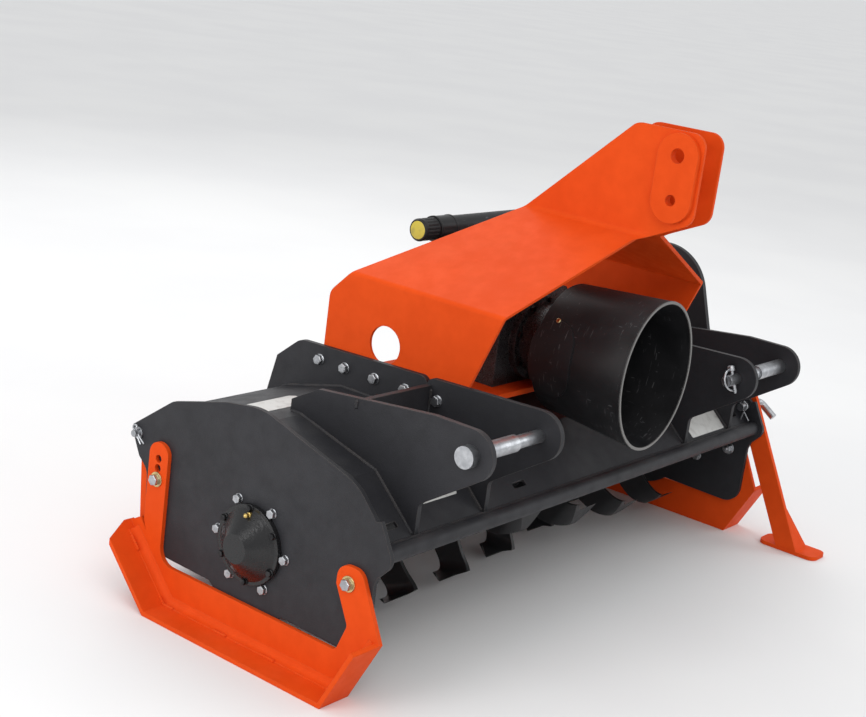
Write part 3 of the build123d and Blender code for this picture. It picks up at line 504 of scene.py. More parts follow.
def rounded_box(width: float, height: float, radius: float, steps: int = 5) -> list[Pair]:
    """Outline of a rectangle with round corners.

    Args:
        width: Size along the first axis.
        height: Size along the second axis.
        radius: Radius of the corners.
        steps: Points on each corner beyond the first.

    Returns:
        The points.
    """
    points = []
    for quarter, (sx, sy) in enumerate(((1, 1), (-1, 1), (-1, -1), (1, -1))):
        for step in range(steps + 1):
            angle = (quarter + step / steps) * math.pi / 2
            points.append((sx * (width / 2 - radius) + radius * math.cos(angle),
                           sy * (height / 2 - radius) + radius * math.sin(angle)))
    return points


def link(name: str, data: bpy.types.ID) -> bpy.types.Object:
    """Put a new object into the scene.

    Args:
        name: Name of the object.
        data: Its mesh, light or camera.

    Returns:
        The object.
    """
    made = bpy.data.objects.new(name, data)
    bpy.context.scene.collection.objects.link(made)
    return made


class Solid:
    """A mesh under construction in the row frame; its outlines, profiles and radii are in millimetres."""

    def __init__(self) -> None:
        """Start empty."""
        self.mesh = bmesh.new()

    def rows(self, outlines: Sequence[Sequence[Vector]], finish: int = 0, loop: bool = False) -> None:
        """Skin outlines of equal length that follow one another.

        Args:
            outlines: Points of each outline, in metres in the row frame.
            finish: Number of the finish.
            loop: Whether the last outline joins the first in place of lids.
        """
        made = [[self.mesh.verts.new(point) for point in outline] for outline in outlines]
        faces: list[Sequence[bmesh.types.BMVert]] = []
        for low, high in zip(made, made[1:] + made[:1] if loop else made[1:]):
            for i in range(len(low)):
                j = (i + 1) % len(low)
                faces.append((low[i], low[j], high[j], high[i]))
        if not loop:
            faces += [made[0][::-1], made[-1]]
        for face in faces:
            self.mesh.faces.new(face).material_index = finish

    def stack(self, place: Matrix, rings: Sequence[tuple[Sequence[Pair], float]], finish: int = 0,
              loop: bool = False) -> None:
        """Skin outlines that lie above one another, each with its height in the frame of a place."""
        self.rows([[place @ Vector((x * MM, y * MM, high * MM)) for x, y in ring] for ring, high in rings],
                  finish, loop)

    def lathe(self, place: Matrix, profile: Sequence[Pair], sides: int, finish: int = 0,
              loop: bool = False) -> None:
        """Turn a profile of radii and heights about the third axis of a place."""
        self.stack(place, [(circle(radius, sides), high) for radius, high in profile], finish, loop)

    def tube(self, path: Sequence[Vector], radii: Sequence[float], sides: int, loop: bool = False) -> None:
        """Sweep a circle along points.

        Args:
            path: Points of the centre line, in metres in the row frame.
            radii: Radius at each point.
            sides: Number of points round.
            loop: Whether the last point joins the first.
        """
        outlines, normal = [], None
        for i, at in enumerate(path):
            before = path[i - 1] if loop or i else at
            after = path[(i + 1) % len(path)] if loop or i < len(path) - 1 else at
            along = (after - before).normalized()
            if normal is None:
                normal = along.orthogonal().normalized()
            normal = (normal - along * normal.dot(along)).normalized()
            side = along.cross(normal)
            outlines.append([at + normal * x + side * y for x, y in circle(radii[i] * MM, sides)])
        self.rows(outlines, 0, loop)

    def piece(self, name: str, slot: Slot, *finishes: bpy.types.Material,
              body: Body = Body.FRAME) -> bpy.types.Object:
        """Close the mesh and make it a piece of the machine.

        Args:
            name: Name of the piece.
            slot: Slot of the record that it belongs to; not used.
            *finishes: Materials, in the order of the finish numbers.
            body: Body that it rides on.

        Returns:
            The new object.
        """
        bmesh.ops.recalc_face_normals(self.mesh, faces=self.mesh.faces[:])
        data = bpy.data.meshes.new(name)
        self.mesh.to_mesh(data)
        self.mesh.free()
        for finish in finishes:
            data.materials.append(finish)
        data.shade_smooth()
        data.set_sharp_from_angle(angle=SHARP_ANGLE)
        made = link(name, data)
        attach(made, body.value)
        LOG.info("%s: %d faces on %s", name, len(data.polygons), body.value)
        return made


@dataclass(frozen=True)
class HexBolt:
    """A hexagon bolt head on a washer, in millimetres."""

    flats: float
    head: float
    washer: float
    washer_thick: float
    sunk: float = 0.3
    ease: float = 1.3
    thread_rings: int = 7
    thread_pitch: float = 0.9

    def add(self, solid: Solid, place: Matrix, metal: int = 0, washer_metal: int = 0) -> None:
        """Add the bolt to a solid.

        Args:
            solid: Mesh that takes it.
            place: Middle of its seat, with the third axis away from the plate.
            metal: Finish of the head.
            washer_metal: Finish of the washer.
        """
        rim, top = self.washer, self.washer_thick
        washer = [(rim, -self.sunk), (rim, top * 0.7), (rim - 0.6, top), (1.0, top)]
        solid.lathe(place, washer, 28, washer_metal)
        corner, peak = self.flats / math.sqrt(3), top + self.head
        solid.lathe(place, [
            (corner * 0.97, top - 0.1), (corner, top + 0.5), (corner, peak - self.ease),
            (corner * 0.9, peak - self.ease * 0.15), (corner * 0.72, peak), (corner * 0.3, peak - 0.2),
        ], 6, metal)

    def add_nut(self, solid: Solid, place: Matrix) -> None:
        """Add a nut on a washer with the bolt's threaded end.

        Args:
            solid: Mesh that takes it.
            place: Middle of its seat, with the third axis away from the plate.
        """
        self.add(solid, place)
        start = self.washer_thick + self.head - 0.5
        core = self.flats * 0.29
        shares = [1.0 if k % 2 else 0.9 for k in range(self.thread_rings)] + [0.8]
        thread = [(core * share, start + k * self.thread_pitch) for k, share in enumerate(shares)]
        solid.lathe(place, thread, 18)


DECK = ((272, 304), (211, 347), (81, 381), (6, 381), (-164, 337), (-266, 244.6))


def deck_height(back: float) -> float:
    """Height of the deck's top.

    Args:
        back: Distance behind the rotor in millimetres.

    Returns:
        The height in millimetres.
    """
    for (rear, high), (fore, low) in zip(DECK, DECK[1:]):
        if fore <= back <= rear:
            return low + (high - low) * (back - fore) / (rear - fore)
    raise ValueError("off the deck")


@dataclass
class Trim:
    """Things placed on or round the machine, in millimetres; the rotor's middle is in metres."""

    rotor: Vector
    paint: Paint

    def at(self, x: float, back: float, high: float) -> Vector:
        """A point from its place across, behind the rotor's axis and above the ground."""
        return Vector((x * MM, self.rotor.y + back * MM, high * MM))

    def seat(self, x: float, back: float, high: float, axis: Sequence[float], turn: float = 0.0) -> Matrix:
        """A place at such a point, its third axis along a direction, turned by an angle in radians."""
        facing = Vector(axis).to_track_quat("Z", "Y").to_matrix().to_4x4()
        return Matrix.Translation(self.at(x, back, high)) @ facing @ Matrix.Rotation(turn, 4, "Z")


@dataclass
class Welds(Trim):
    """Rippled weld beads where plates stand on the deck."""

    radius: float = 3.6
    ripple: float = 0.4
    pitch: float = 5
    outer: Pair = (526, 516)
    inner: Pair = (341.5, 331.5)
    outer_rear: float = 29
    inner_rear: float = 258
    fore: float = -252
    gusset: Pair = (-104, -114)
    gusset_heights: Pair = (356, 432)
    plug: tuple[Pair, Pair] = ((-109, 440), (-108, 424))
    pipe_seam: Pair = (-255.6, 254)
    half: float = 611

    def bead(self, solid: Solid, path: Sequence[Vector]) -> None:
        """Lay a bead along a line of points.

        Args:
            solid: Mesh that takes it.
            path: Corner points of the line.
        """
        points: list[Vector] = []
        for start, end in zip(path, path[1:]):
            steps = max(2, round((end - start).length / (self.pitch / 2 * MM)))
            points += [start.lerp(end, k / steps) for k in range(steps)]
        points.append(path[-1])
        radii = [self.radius + (self.ripple if k % 2 else -self.ripple) for k in range(len(points))]
        radii[0] = radii[-1] = self.radius / 2
        solid.tube(points, radii, 7)

    def deck_path(self, x: float, rear: float, fore: float) -> list[Vector]:
        """Points along the deck's top at one place across, from the rear to the fore end."""
        backs = [rear, *[back for back, _ in DECK if fore < back < rear], fore]
        return [self.at(x, back, deck_height(back)) for back in backs]

    def build(self) -> None:
        """Lay all beads."""
        for sign, side in SIDES:
            solid = Solid()
            for faces, rear in ((self.outer, self.outer_rear), (self.inner, self.inner_rear)):
                for x in faces:
                    self.bead(solid, self.deck_path(sign * x, rear, self.fore))
            ends = (sign * self.outer[1], sign * self.inner[0])
            for back in self.gusset:
                self.bead(solid, [self.at(x, back, deck_height(back)) for x in ends])
                for x in ends:
                    self.bead(solid, [self.at(x, back, high) for high in self.gusset_heights])
            self.bead(solid, [self.at(sign * self.outer[0], *spot) for spot in self.plug])
            solid.piece(f"deck_welds_{side}", Slot.DARK, self.paint.dark)
        seam = Solid()
        self.bead(seam, [self.at(x, *self.pipe_seam) for x in (-self.half, self.half)])
        seam.piece("pipe_weld", Slot.DARK, self.paint.dark)


@dataclass
class SkidSeams(Trim):
    """Rolled corner between each skid's web and runner, with its lip and the stitch welds along it."""

    web_face: float = 628
    roll: float = 12
    steps: int = 6
    sunk: float = 0.3
    lip: float = 13.5
    lip_thick: float = 1.2
    lip_ease: float = 0.8
    stitch_spot: Pair = (14.1, 1.2)
    stitch_bead: Triple = (2.8, 0.4, 4)
    line: Profile = ((-284.6, 109.2), (-234, 8), (166.6, 8), (268, 112))
    stitches: Profile = ((0.05, 0.2), (0.8, 1.06), (1.34, 1.42), (1.62, 1.7), (1.94, 2.12), (2.72, 2.92))

    def normal(self, number: int) -> Vector:
        """Direction off the runner at a point of the line, longer at its bends.

        Args:
            number: Number of the point.

        Returns:
            The direction, across zero.
        """
        sides = []
        for start, end in zip(self.line, self.line[1:]):
            run = Vector((0, end[0] - start[0], end[1] - start[1])).normalized()
            sides.append(Vector((0, -run.z, run.y)))
        near = sides[max(number - 1, 0)]
        mean = (near + sides[min(number, len(sides) - 1)]).normalized()
        return mean / mean.dot(near)

    def point(self, sign: int, share: float, out: float, off: float) -> Vector:
        """A point over the runner.

        Args:
            sign: Side of the machine, -1 near and 1 far.
            share: Place along the line, in whole points.
            out: Distance outside the web in millimetres.
            off: Distance off the runner in millimetres.

        Returns:
            The point.
        """
        number = min(int(share), len(self.line) - 2)
        ends = []
        for k in (number, number + 1):
            at = self.at(sign * (self.web_face + out), *self.line[k])
            ends.append(at + self.normal(k) * (off * MM))
        return ends[0].lerp(ends[1], share - number)

    def build(self) -> None:
        """Lay the corners and stitches of both skids."""
        top, edge = self.lip_thick + self.roll, self.lip + self.lip_ease
        section = [(-self.sunk, -self.sunk), (-self.sunk, top)]
        for x, y in circle(self.roll, 4 * self.steps)[:self.steps + 1]:
            section.append((self.roll - x, top - y))
        section += [(self.lip, self.lip_thick), (edge, self.lip_thick - self.lip_ease), (edge, -self.sunk)]
        welder = Welds(self.rotor, self.paint, *self.stitch_bead)
        for sign, side in SIDES:
            solid = Solid()
            solid.rows([[self.point(sign, k, *spot) for spot in section] for k in range(len(self.line))])
            for start, end in self.stitches:
                shares = [start, *[float(k) for k in range(1, 3) if start < k < end], end]
                welder.bead(solid, [self.point(sign, share, *self.stitch_spot) for share in shares])
            solid.piece(f"skid_seam_{side}", Slot.ORANGE, self.paint.orange)


@dataclass
class BearingEnd(Trim):
    """Bolts and grease fitting round the near bearing, placed by distance off the plate, radius and angle."""

    face: float = -620
    high: float = 175
    count: int = 6
    hub_ring: Triple = (0.0, 77, 29)
    cap_ring: Triple = (9, 63.5, 2)
    fitting_spot: Triple = (14, 55, -3)
    fitting: Profile = (
        (4.6, -4), (4.6, 3), (3.2, 4), (3.2, 7), (4.2, 8.5), (4.2, 10), (2.6, 12), (1.2, 12.6))

    def seats(self, out: float, radius: float, phase: float, count: int = 1) -> list[Matrix]:
        """Seats round the bearing on the near face.

        Args:
            out: Distance off the plate.
            radius: Distance from the bearing's axis.
            phase: Angle of the first one from straight up, turning rearward.
            count: Number of seats.

        Returns:
            The seats, facing away from the machine.
        """
        step = 360 / count
        return [self.seat(self.face - out, rear, self.high + up, (-1, 0, 0), math.radians(phase + k * step))
                for k, (rear, up) in enumerate(dial(radius, count, phase, step))]

    def build(self) -> None:
        """Make the bolts and the fitting."""
        rings = (("hub_bolts", HexBolt(14.5, 7, 8.6, 1.2), self.hub_ring, Slot.ZINC, self.paint.zinc),
                 ("cap_screws", HexBolt(10, 5, 6.5, 1.2), self.cap_ring, Slot.DARK, self.paint.black_bolt))
        for name, bolt, ring, slot, metal in rings:
            solid = Solid()
            for seat in self.seats(*ring, self.count):
                bolt.add(solid, seat)
            solid.piece(name, slot, metal)
        fitting = Solid()
        fitting.lathe(*self.seats(*self.fitting_spot), self.fitting, 20)
        fitting.piece("grease_fitting", Slot.ZINC, self.paint.brass)


@dataclass
class PlateBolts(Trim):
    """Bolts of the skids, the ribs and the inside of the end plates."""

    skid_face: float = 628
    inner_face: float = 612
    skid_bolts: Profile = ((225, 216), (-219, 187))
    inner_bolts: Profile = ((-149, 148), (149, 148))
    rib_face: float = 341.5
    wall_face: float = 325.5
    rib_high: float = 415
    rib_backs: tuple[float, ...] = (139, 79, 10, -59, -130)

    def build(self) -> None:
        """Make the bolts of both ends, each turned a little differently."""
        skid_bolt = HexBolt(17.5, 9, 13.5, 2.4)
        rib_bolt = HexBolt(16.5, 7.8, 10.2, 1.3)
        for sign, side in SIDES:
            outward, inward = (sign, 0, 0), (-sign, 0, 0)
            solid = Solid()
            for spot in self.skid_bolts:
                skid_bolt.add(solid, self.seat(sign * self.skid_face, *spot, outward, 0.3), 0, 1)
                skid_bolt.add_nut(solid, self.seat(sign * self.inner_face, *spot, inward, 0.7))
            for spot in self.inner_bolts:
                rib_bolt.add(solid, self.seat(sign * self.inner_face, *spot, inward, 0.2))
            solid.piece(f"skid_bolts_{side}", Slot.ZINC, self.paint.zinc, self.paint.yellow_zinc)
            ribs = Solid()
            for number, back in enumerate(self.rib_backs):
                spot = (back, self.rib_high)
                rib_bolt.add(ribs, self.seat(sign * self.rib_face, *spot, outward, number * 0.7))
                rib_bolt.add_nut(ribs, self.seat(sign * self.wall_face, *spot, inward, number))
            ribs.piece(f"rib_bolts_{side}", Slot.ZINC, self.paint.zinc)


@dataclass(frozen=True)
class SplitPin:
    """A pin of bent wire: place of its eye behind and above the rod, the eye's radius, and both legs."""

    wire: float
    eye: Triple
    legs: tuple[tuple[Triple, ...], ...]


@dataclass
class Pins(Trim):
    """Linch pins of the hitch, the stand pin's clip and the hinge rod's cotters."""

    pin: Triple = (318, -341, 417)
    lean: float = 22
    peg: Profile = ((2, -27), (4.2, -23), (4.2, 16), (7.5, 17), (7.5, 24), (5.5, 27), (2, 28))
    ring: Triple = (34, 21, 2)
    ring_steps: int = 32
    stand: Triple = (592, -241, 289)
    clip: SplitPin = SplitPin(1.6, (8, 14, 6), (
        ((0, 5, 9), (0, 0, 0), (0, -11, -13), (-1, -22, -25)),
        ((0, 2, 15), (-2, -12, 11), (-2, -15, 2), (-2, -6, -10), (-2, -4, -28))))
    rod_end: Triple = (626, 288, 280)
    cotter: SplitPin = SplitPin(1.5, (3, 9, 5), (
        ((0, 1, 5), (0, 0, 0), (0, -5, -6), (1, -15, -16)),
        ((0, -1, 7), (0, -3, 1), (0, -9, -4), (1, -23, -13))))
    washer_face: float = 620
    washer: Profile = ((11, -0.2), (11, 2), (6.2, 2.2), (6.2, -0.2))

    def wire(self, solid: Solid, points: Sequence[Vector], radius: float) -> None:
        """Bend a wire through points.

        Args:
            solid: Mesh that takes it.
            points: Control points of its line.
            radius: Radius of the wire in millimetres.
        """
        curve = bpy.data.curves.new("wire", "CURVE")
        curve.dimensions, curve.resolution_u = "3D", 10
        spline = curve.splines.new("NURBS")
        spline.points.add(len(points) - 1)
        for control, at in zip(spline.points, points):
            control.co = (*at, 1.0)
        spline.order_u, spline.use_endpoint_u = 3, True
        holder = bpy.data.objects.new("wire", curve)
        line = bpy.data.meshes.new_from_object(holder)
        path = [vertex.co.copy() for vertex in line.vertices]
        solid.tube(path, [radius] * len(path), 10)
        bpy.data.objects.remove(holder)
        bpy.data.curves.remove(curve)
        bpy.data.meshes.remove(line)

    def split(self, solid: Solid, sign: int, spot: Triple, pin: SplitPin) -> None:
        """Add a pin of bent wire.

        Args:
            solid: Mesh that takes it.
            sign: Side of the machine, -1 near and 1 far.
            spot: Where it passes its rod, on the far side.
            pin: Its shape.
        """
        x, back, high = sign * spot[0], *spot[1:]
        rear, up, radius = pin.eye
        eye = [self.at(x, back + rear + dy, high + up + dz) for dy, dz in circle(radius, 16)]
        solid.tube(eye, [pin.wire] * len(eye), 10, True)
        for leg in pin.legs:
            self.wire(solid, [self.at(x + sign * dx, back + dy, high + dz) for dx, dy, dz in leg], pin.wire)

    def linch(self, solid: Solid, sign: int) -> None:
        """Add a linch pin: a peg through the hitch pin with a sprung ring over its end.

        Args:
            solid: Mesh that takes it.
            sign: Side of the machine, -1 near and 1 far.
        """
        lean = math.radians(self.lean)
        along = Vector((0, math.sin(lean), math.cos(lean)))
        x, back, high = sign * self.pin[0], *self.pin[1:]
        solid.lathe(self.seat(x, back, high, along), self.peg, 18)
        reach, rise, wire = self.ring
        ring = [self.at(x - sign * out * reach, back, high) + along * (up * rise * MM)
                for up, out in dial(1.0, self.ring_steps + 1, -90, 180 / self.ring_steps)]
        solid.tube(ring, [wire] * len(ring), 10)

    def build(self) -> None:
        """Make all pins and clips."""
        for sign, side in SIDES:
            solid = Solid()
            self.linch(solid, sign)
            solid.piece(f"linch_pin_{side}", Slot.ZINC, self.paint.zinc)
        clip = Solid()
        self.split(clip, 1, self.stand, self.clip)
        clip.piece("stand_clip", Slot.ZINC, self.paint.zinc)
        cotters = Solid()
        for sign, _ in SIDES:
            self.split(cotters, sign, self.rod_end, self.cotter)
            face = self.seat(sign * self.washer_face, *self.rod_end[1:], (sign, 0, 0))
            cotters.lathe(face, self.washer, 24, 0, True)
        cotters.piece("hinge_cotters", Slot.ZINC, self.paint.zinc)


@dataclass
class ShaftTube(Trim):
    """Rim and screw of the shaft tube, and the splined stub inside it."""

    high: float = 475
    front: float = -348
    mouth: Triple = (118, 136.6, 470)
    rim: Profile = ((-5.3, -5), (-5.3, -1.2), (-4.1, -0.1), (-0.9, -0.1), (0.3, -1.2), (0.3, -5))
    rim_points: int = 96
    screw_back: float = -192
    screw_oval: Triple = (121, 124.6, 474.1)
    screw_lift: float = 34
    screw: Profile = ((4.6, -0.5), (4.6, 1.0), (3.4, 2.3), (1.2, 2.6))
    journal: Triple = (22, 40.05, 174)
    stub_end: float = 262
    groove: Pair = (232, 240)
    teeth: int = 6
    tooth: Profile = ((-0.24, 17.46), (0.0, 17.46), (0.24, 17.46), (0.3, 14.6), (0.5, 14.6), (0.7, 14.6))

    def splined(self) -> list[Pair]:
        """Outline of the splined stub, from each tooth's shares of a turn and radii."""
        return polar((TAU * (number + share) / self.teeth, radius)
                     for number in range(self.teeth) for share, radius in self.tooth)

    def trim_tube(self) -> None:
        """Make the tube's rim and the flap's screw."""
        rim = Solid()
        half, tall, high = self.mouth
        unit = circle(1.0, self.rim_points)
        place = axes_at(self.at(0, self.front, high), (1, 0, 0), (0, 0, 1), (0, -1, 0))
        rim.stack(place, [([(x * (half + grow), y * (tall + grow)) for x, y in unit], depth)
                          for grow, depth in self.rim], 0, True)
        rim.piece("tube_rim", Slot.PLASTIC, self.paint.plastic)
        screw = Solid()
        half, tall, high = self.screw_oval
        lift = math.radians(self.screw_lift)
        out = (-math.cos(lift) / half, 0, math.sin(lift) / tall)
        seat = self.seat(-half * math.cos(lift), self.screw_back, high + tall * math.sin(lift), out)
        screw.lathe(seat, self.screw, 20)
        screw.piece("flap_screw", Slot.ZINC, self.paint.yellow_zinc)

    def build(self) -> None:
        """Make the rim, the flap's screw and the stub."""
        self.trim_tube()
        stub = Solid()
        radius, rear, front = self.journal
        place = self.seat(0, 0, self.high, (0, -1, 0))
        journal = [(radius * 0.9, rear), (radius, rear + 1), (radius, front - 1.2), (radius * 0.94, front)]
        stub.lathe(place, journal, 48)
        outline = self.splined()
        neck = circle(self.tooth[-1][1], len(outline), self.tooth[0][0] * TAU / self.teeth)
        worn = [(x * 0.94, y * 0.94) for x, y in outline]
        start, end = self.groove
        stub.stack(place, [
            (outline, front - 1), (outline, start), (neck, start + 0.5), (neck, end - 0.5), (outline, end),
            (outline, self.stub_end - 2), (worn, self.stub_end)])
        made = stub.piece("splined_stub", Slot.STEEL, self.paint.steel, body=Body.INPUT)
        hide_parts("input_shaft")


@dataclass
class Canister(Trim):
    """Fluted cap with a plain disc, and rings on the document canister."""

    middle: Pair = (96, 648)
    near: float = -163
    length: float = 46
    radius: float = 21
    end_ease: float = 2.2
    flutes: int = 18
    flute_points: int = 6
    flute_depth: float = 1.7
    disc: Profile = ((16.6, -0.6), (16.6, 0.1), (16, 0.35), (2, 0.4))
    collar: Pair = (-117, -73)
    ring: Profile = ((22, -3), (23.8, -2), (23.8, 2), (22, 3), (20.6, 0.0))

    def fluted(self, radius: float, depth: float = 0.0) -> list[Pair]:
        """Outline with rounded flutes of a depth."""
        angles = [TAU * k / (self.flutes * self.flute_points) for k in range(self.flutes * self.flute_points)]
        return polar((a, radius - depth * (0.5 - 0.5 * math.cos(self.flutes * a)) ** 2) for a in angles)

    def build(self) -> None:
        """Make the cap, its disc and the collar's rings."""
        cap = Solid()
        smooth, cut = self.fluted(self.radius), self.fluted(self.radius, self.flute_depth)
        small = self.fluted(self.radius - self.end_ease)
        cap.stack(self.seat(self.near + self.length, *self.middle, (-1, 0, 0)), [
            (smooth, 0), (smooth, 7), (cut, 9), (cut, 36), (smooth, 38), (smooth, 43), (small, self.length)])
        made = cap.piece("canister_lid", Slot.PLASTIC, self.paint.plastic)
        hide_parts("canister_cap")
        disc = Solid()
        disc.lathe(self.seat(self.near, *self.middle, (-1, 0, 0)), self.disc, 48)
        disc.piece("canister_disc", Slot.PLASTIC, self.paint.yellow)
        rings = Solid()
        for x in self.collar:
            rings.lathe(self.seat(x, *self.middle, (1, 0, 0)), self.ring, 48, 0, True)
        rings.piece("canister_rings", Slot.PLASTIC, self.paint.plastic)


@dataclass
class Gearing(Trim):
    """Covers, plugs and bolts of the gearbox and the drive case."""

    half: float = 112
    drive: Pair = (5, 475)
    near_cover: Profile = ((66, -0.5), (66, 8), (63, 10), (46, 10), (42, 16), (12, 17))
    far_cover: Profile = ((66, -0.5), (66, 8), (63, 10), (40, 12), (34, 30), (26, 32))
    cover_thick: float = 10
    cover_circle: float = 55
    neck_front: float = -168
    neck_ring: Profile = ((55, -2), (55, 1.2), (53.8, 1.9), (26, 1.9), (24, -2))
    neck_flange: float = -94
    neck_circle: float = 73
    filler: Triple = (-38, 20, 562)
    rib_backs: Pair = (58, 84)
    rib_foot: float = 391
    case_face: float = 632
    cover_face: float = 674
    case_top: Pair = (14, 479)
    rotor_high: float = 175
    bolt_reach: Pair = (95, 80)
    flank_shares: Triple = (0.3, 0.55, 0.8)
    cap_radii: Pair = (44, 46)
    cap_steps: Profile = ((0, -0.5), (0, 4), (4, 6), (14, 6), (18, 10))
    oil_plugs: Profile = ((-32, 345), (42, 300))

    def gearbox(self) -> None:
        """Make the gearbox's covers, filler plug and ribs."""
        covers = Solid()
        back, high = self.drive
        bolt, small = HexBolt(13, 6, 8, 1.2), HexBolt(10, 5, 6, 1.0)
        forward, upward = (0, -1, 0), (0, 0, 1)
        for sign, cover in ((-1, self.near_cover), (1, self.far_cover)):
            covers.lathe(self.seat(sign * self.half, back, high, (sign, 0, 0)), cover, 56)
            face = sign * (self.half + self.cover_thick)
            for k, (rear, up) in enumerate(dial(self.cover_circle, 8, 22.5, 45)):
                bolt.add(covers, self.seat(face, back + rear, high + up, (sign, 0, 0), k), 1, 1)
        covers.lathe(self.seat(0, self.neck_front, high, forward), self.neck_ring, 56, 0, True)
        for k, (x, up) in enumerate(dial(self.neck_circle, 8, 11.25, 45)):
            small.add(covers, self.seat(x, self.neck_flange, high + up, forward, k), 1, 1)
        HexBolt(24, 12, 17, 3).add(covers, self.seat(*self.filler, upward), 1, 1)
        foot, tip = rounded_box(20, 9, 3), rounded_box(7, 8, 2)
        for rear in self.rib_backs:
            for sign, _ in SIDES:
                rib = self.seat(sign * self.half, rear, self.rib_foot, upward)
                covers.stack(rib, [(foot, 0), (foot, 20), (tip, 135)])
        covers.piece("gearbox_covers", Slot.CASTING, self.paint.casting, self.paint.black_bolt)

    def build(self) -> None:
        """Make the gearbox's covers and the drive case's bolts, caps and plugs."""
        self.gearbox()
        case = Solid()
        rim_bolt, plug = HexBolt(13, 6.5, 9, 1.5), HexBolt(17, 7, 12, 2)
        outward = (1, 0, 0)
        (top_back, top_high), (top_reach, foot_reach) = self.case_top, self.bolt_reach
        spots = [(top_back + rear, top_high + up) for rear, up in dial(top_reach, 7, -96, 32)]
        spots += [(rear, self.rotor_high + up) for rear, up in dial(foot_reach, 7, 84, 32)]
        for share in self.flank_shares:
            high = top_high + (self.rotor_high - top_high) * share
            reach = top_reach + (foot_reach - top_reach) * share
            middle = top_back * (1 - share)
            spots += [(middle + reach, high), (middle - reach, high)]
        for number, spot in enumerate(spots):
            rim_bolt.add(case, self.seat(self.case_face, *spot, outward, number))
        case.piece("cover_bolts", Slot.ZINC, self.paint.zinc)
        caps = Solid()
        for spot, radius in zip((self.case_top, (0.0, self.rotor_high)), self.cap_radii):
            profile = [(radius - step, high) for step, high in self.cap_steps]
            caps.lathe(self.seat(self.cover_face, *spot, outward), [*profile, (8, 11)], 56)
        for spot in self.oil_plugs:
            plug.add(caps, self.seat(self.cover_face, *spot, outward, 0.4), 1, 1)
        caps.piece("cover_caps", Slot.DARK, self.paint.dark, self.paint.black_bolt)


@dataclass
class TineBolts(Trim):
    """Bolts that hold the tines to the rotor's flanges."""

    flanges: int = 6
    pitch: float = 200
    twist: float = 14
    phase: float = 142
    tines: int = 6
    face: float = 13
    back_face: float = 5
    spot: Pair = (15, 77)

    def build(self) -> None:
        """Make the bolts of every tine."""
        solid = Solid()
        bolt = HexBolt(17, 7, 10, 1.4)
        middle = self.rotor.z / MM
        aside, out = self.spot
        for number in range(self.flanges):
            x = (number - (self.flanges - 1) / 2) * self.pitch
            for turn in range(self.tines):
                angle = math.radians(self.phase + number * self.twist + turn * 360 / self.tines)
                sign = -1 if turn % 2 == 0 else 1
                for offset in (-aside, aside):
                    spot = (offset * math.cos(angle) - out * math.sin(angle),
                            middle + offset * math.sin(angle) + out * math.cos(angle))
                    bolt.add(solid, self.seat(x + sign * self.face, *spot, (sign, 0, 0), angle))
                    bolt.add_nut(solid, self.seat(x - sign * self.back_face, *spot, (-sign, 0, 0), angle))
        solid.piece("tine_bolts", Slot.TINE, self.paint.black_bolt, body=Body.ROTOR)


@dataclass
class Labels(Trim):
    """Blank pale labels on the deck."""

    front_middles: Profile = ((-441, -203), (443, -232))
    front_size: Pair = (132, 48)
    corner: float = 4
    ease: float = 0.6
    top_spans: tuple[Pair, Pair] = ((-589, -461), (44, 96))
    top_corner: float = 1.5
    proud: float = 0.5

    def bent(self) -> None:
        """Lay the label that follows the deck's bend."""
        solid = Solid()
        (left, right), (fore, rear) = self.top_spans
        bends = [back for back, _ in reversed(DECK) if fore < back < rear]
        backs = [fore, fore + self.top_corner, *bends, rear - self.top_corner, rear]
        outlines = []
        for number, back in enumerate(backs):
            inset = self.top_corner if number in (0, len(backs) - 1) else 0.0
            ends, high = (left + inset, right - inset), deck_height(back)
            outlines.append([self.at(x, back, high - 0.3) for x in ends])
            outlines[-1] += [self.at(x, back, high + self.proud) for x in reversed(ends)]
        solid.rows(outlines)
        solid.piece("deck_label_top", Slot.PLASTIC, self.paint.label)

    def build(self) -> None:
        """Lay all labels."""
        (rear, top), (fore, low) = DECK[-2:]
        across, normal = Vector((1, 0, 0)), Vector((0, low - top, rear - fore)).normalized()
        width, height = self.front_size
        full = rounded_box(width, height, self.corner)
        eased = rounded_box(width - self.ease, height - self.ease, self.corner - 0.2)
        for (x, back), (_, side) in zip(self.front_middles, SIDES):
            place = axes_at(self.at(x, back, deck_height(back)), across, normal.cross(across), normal)
            film = Solid()
            film.stack(place, [(full, -0.2), (full, self.proud * 0.6), (eased, self.proud)])
            film.piece(f"deck_label_{side}", Slot.PLASTIC, self.paint.label)
        self.bent()


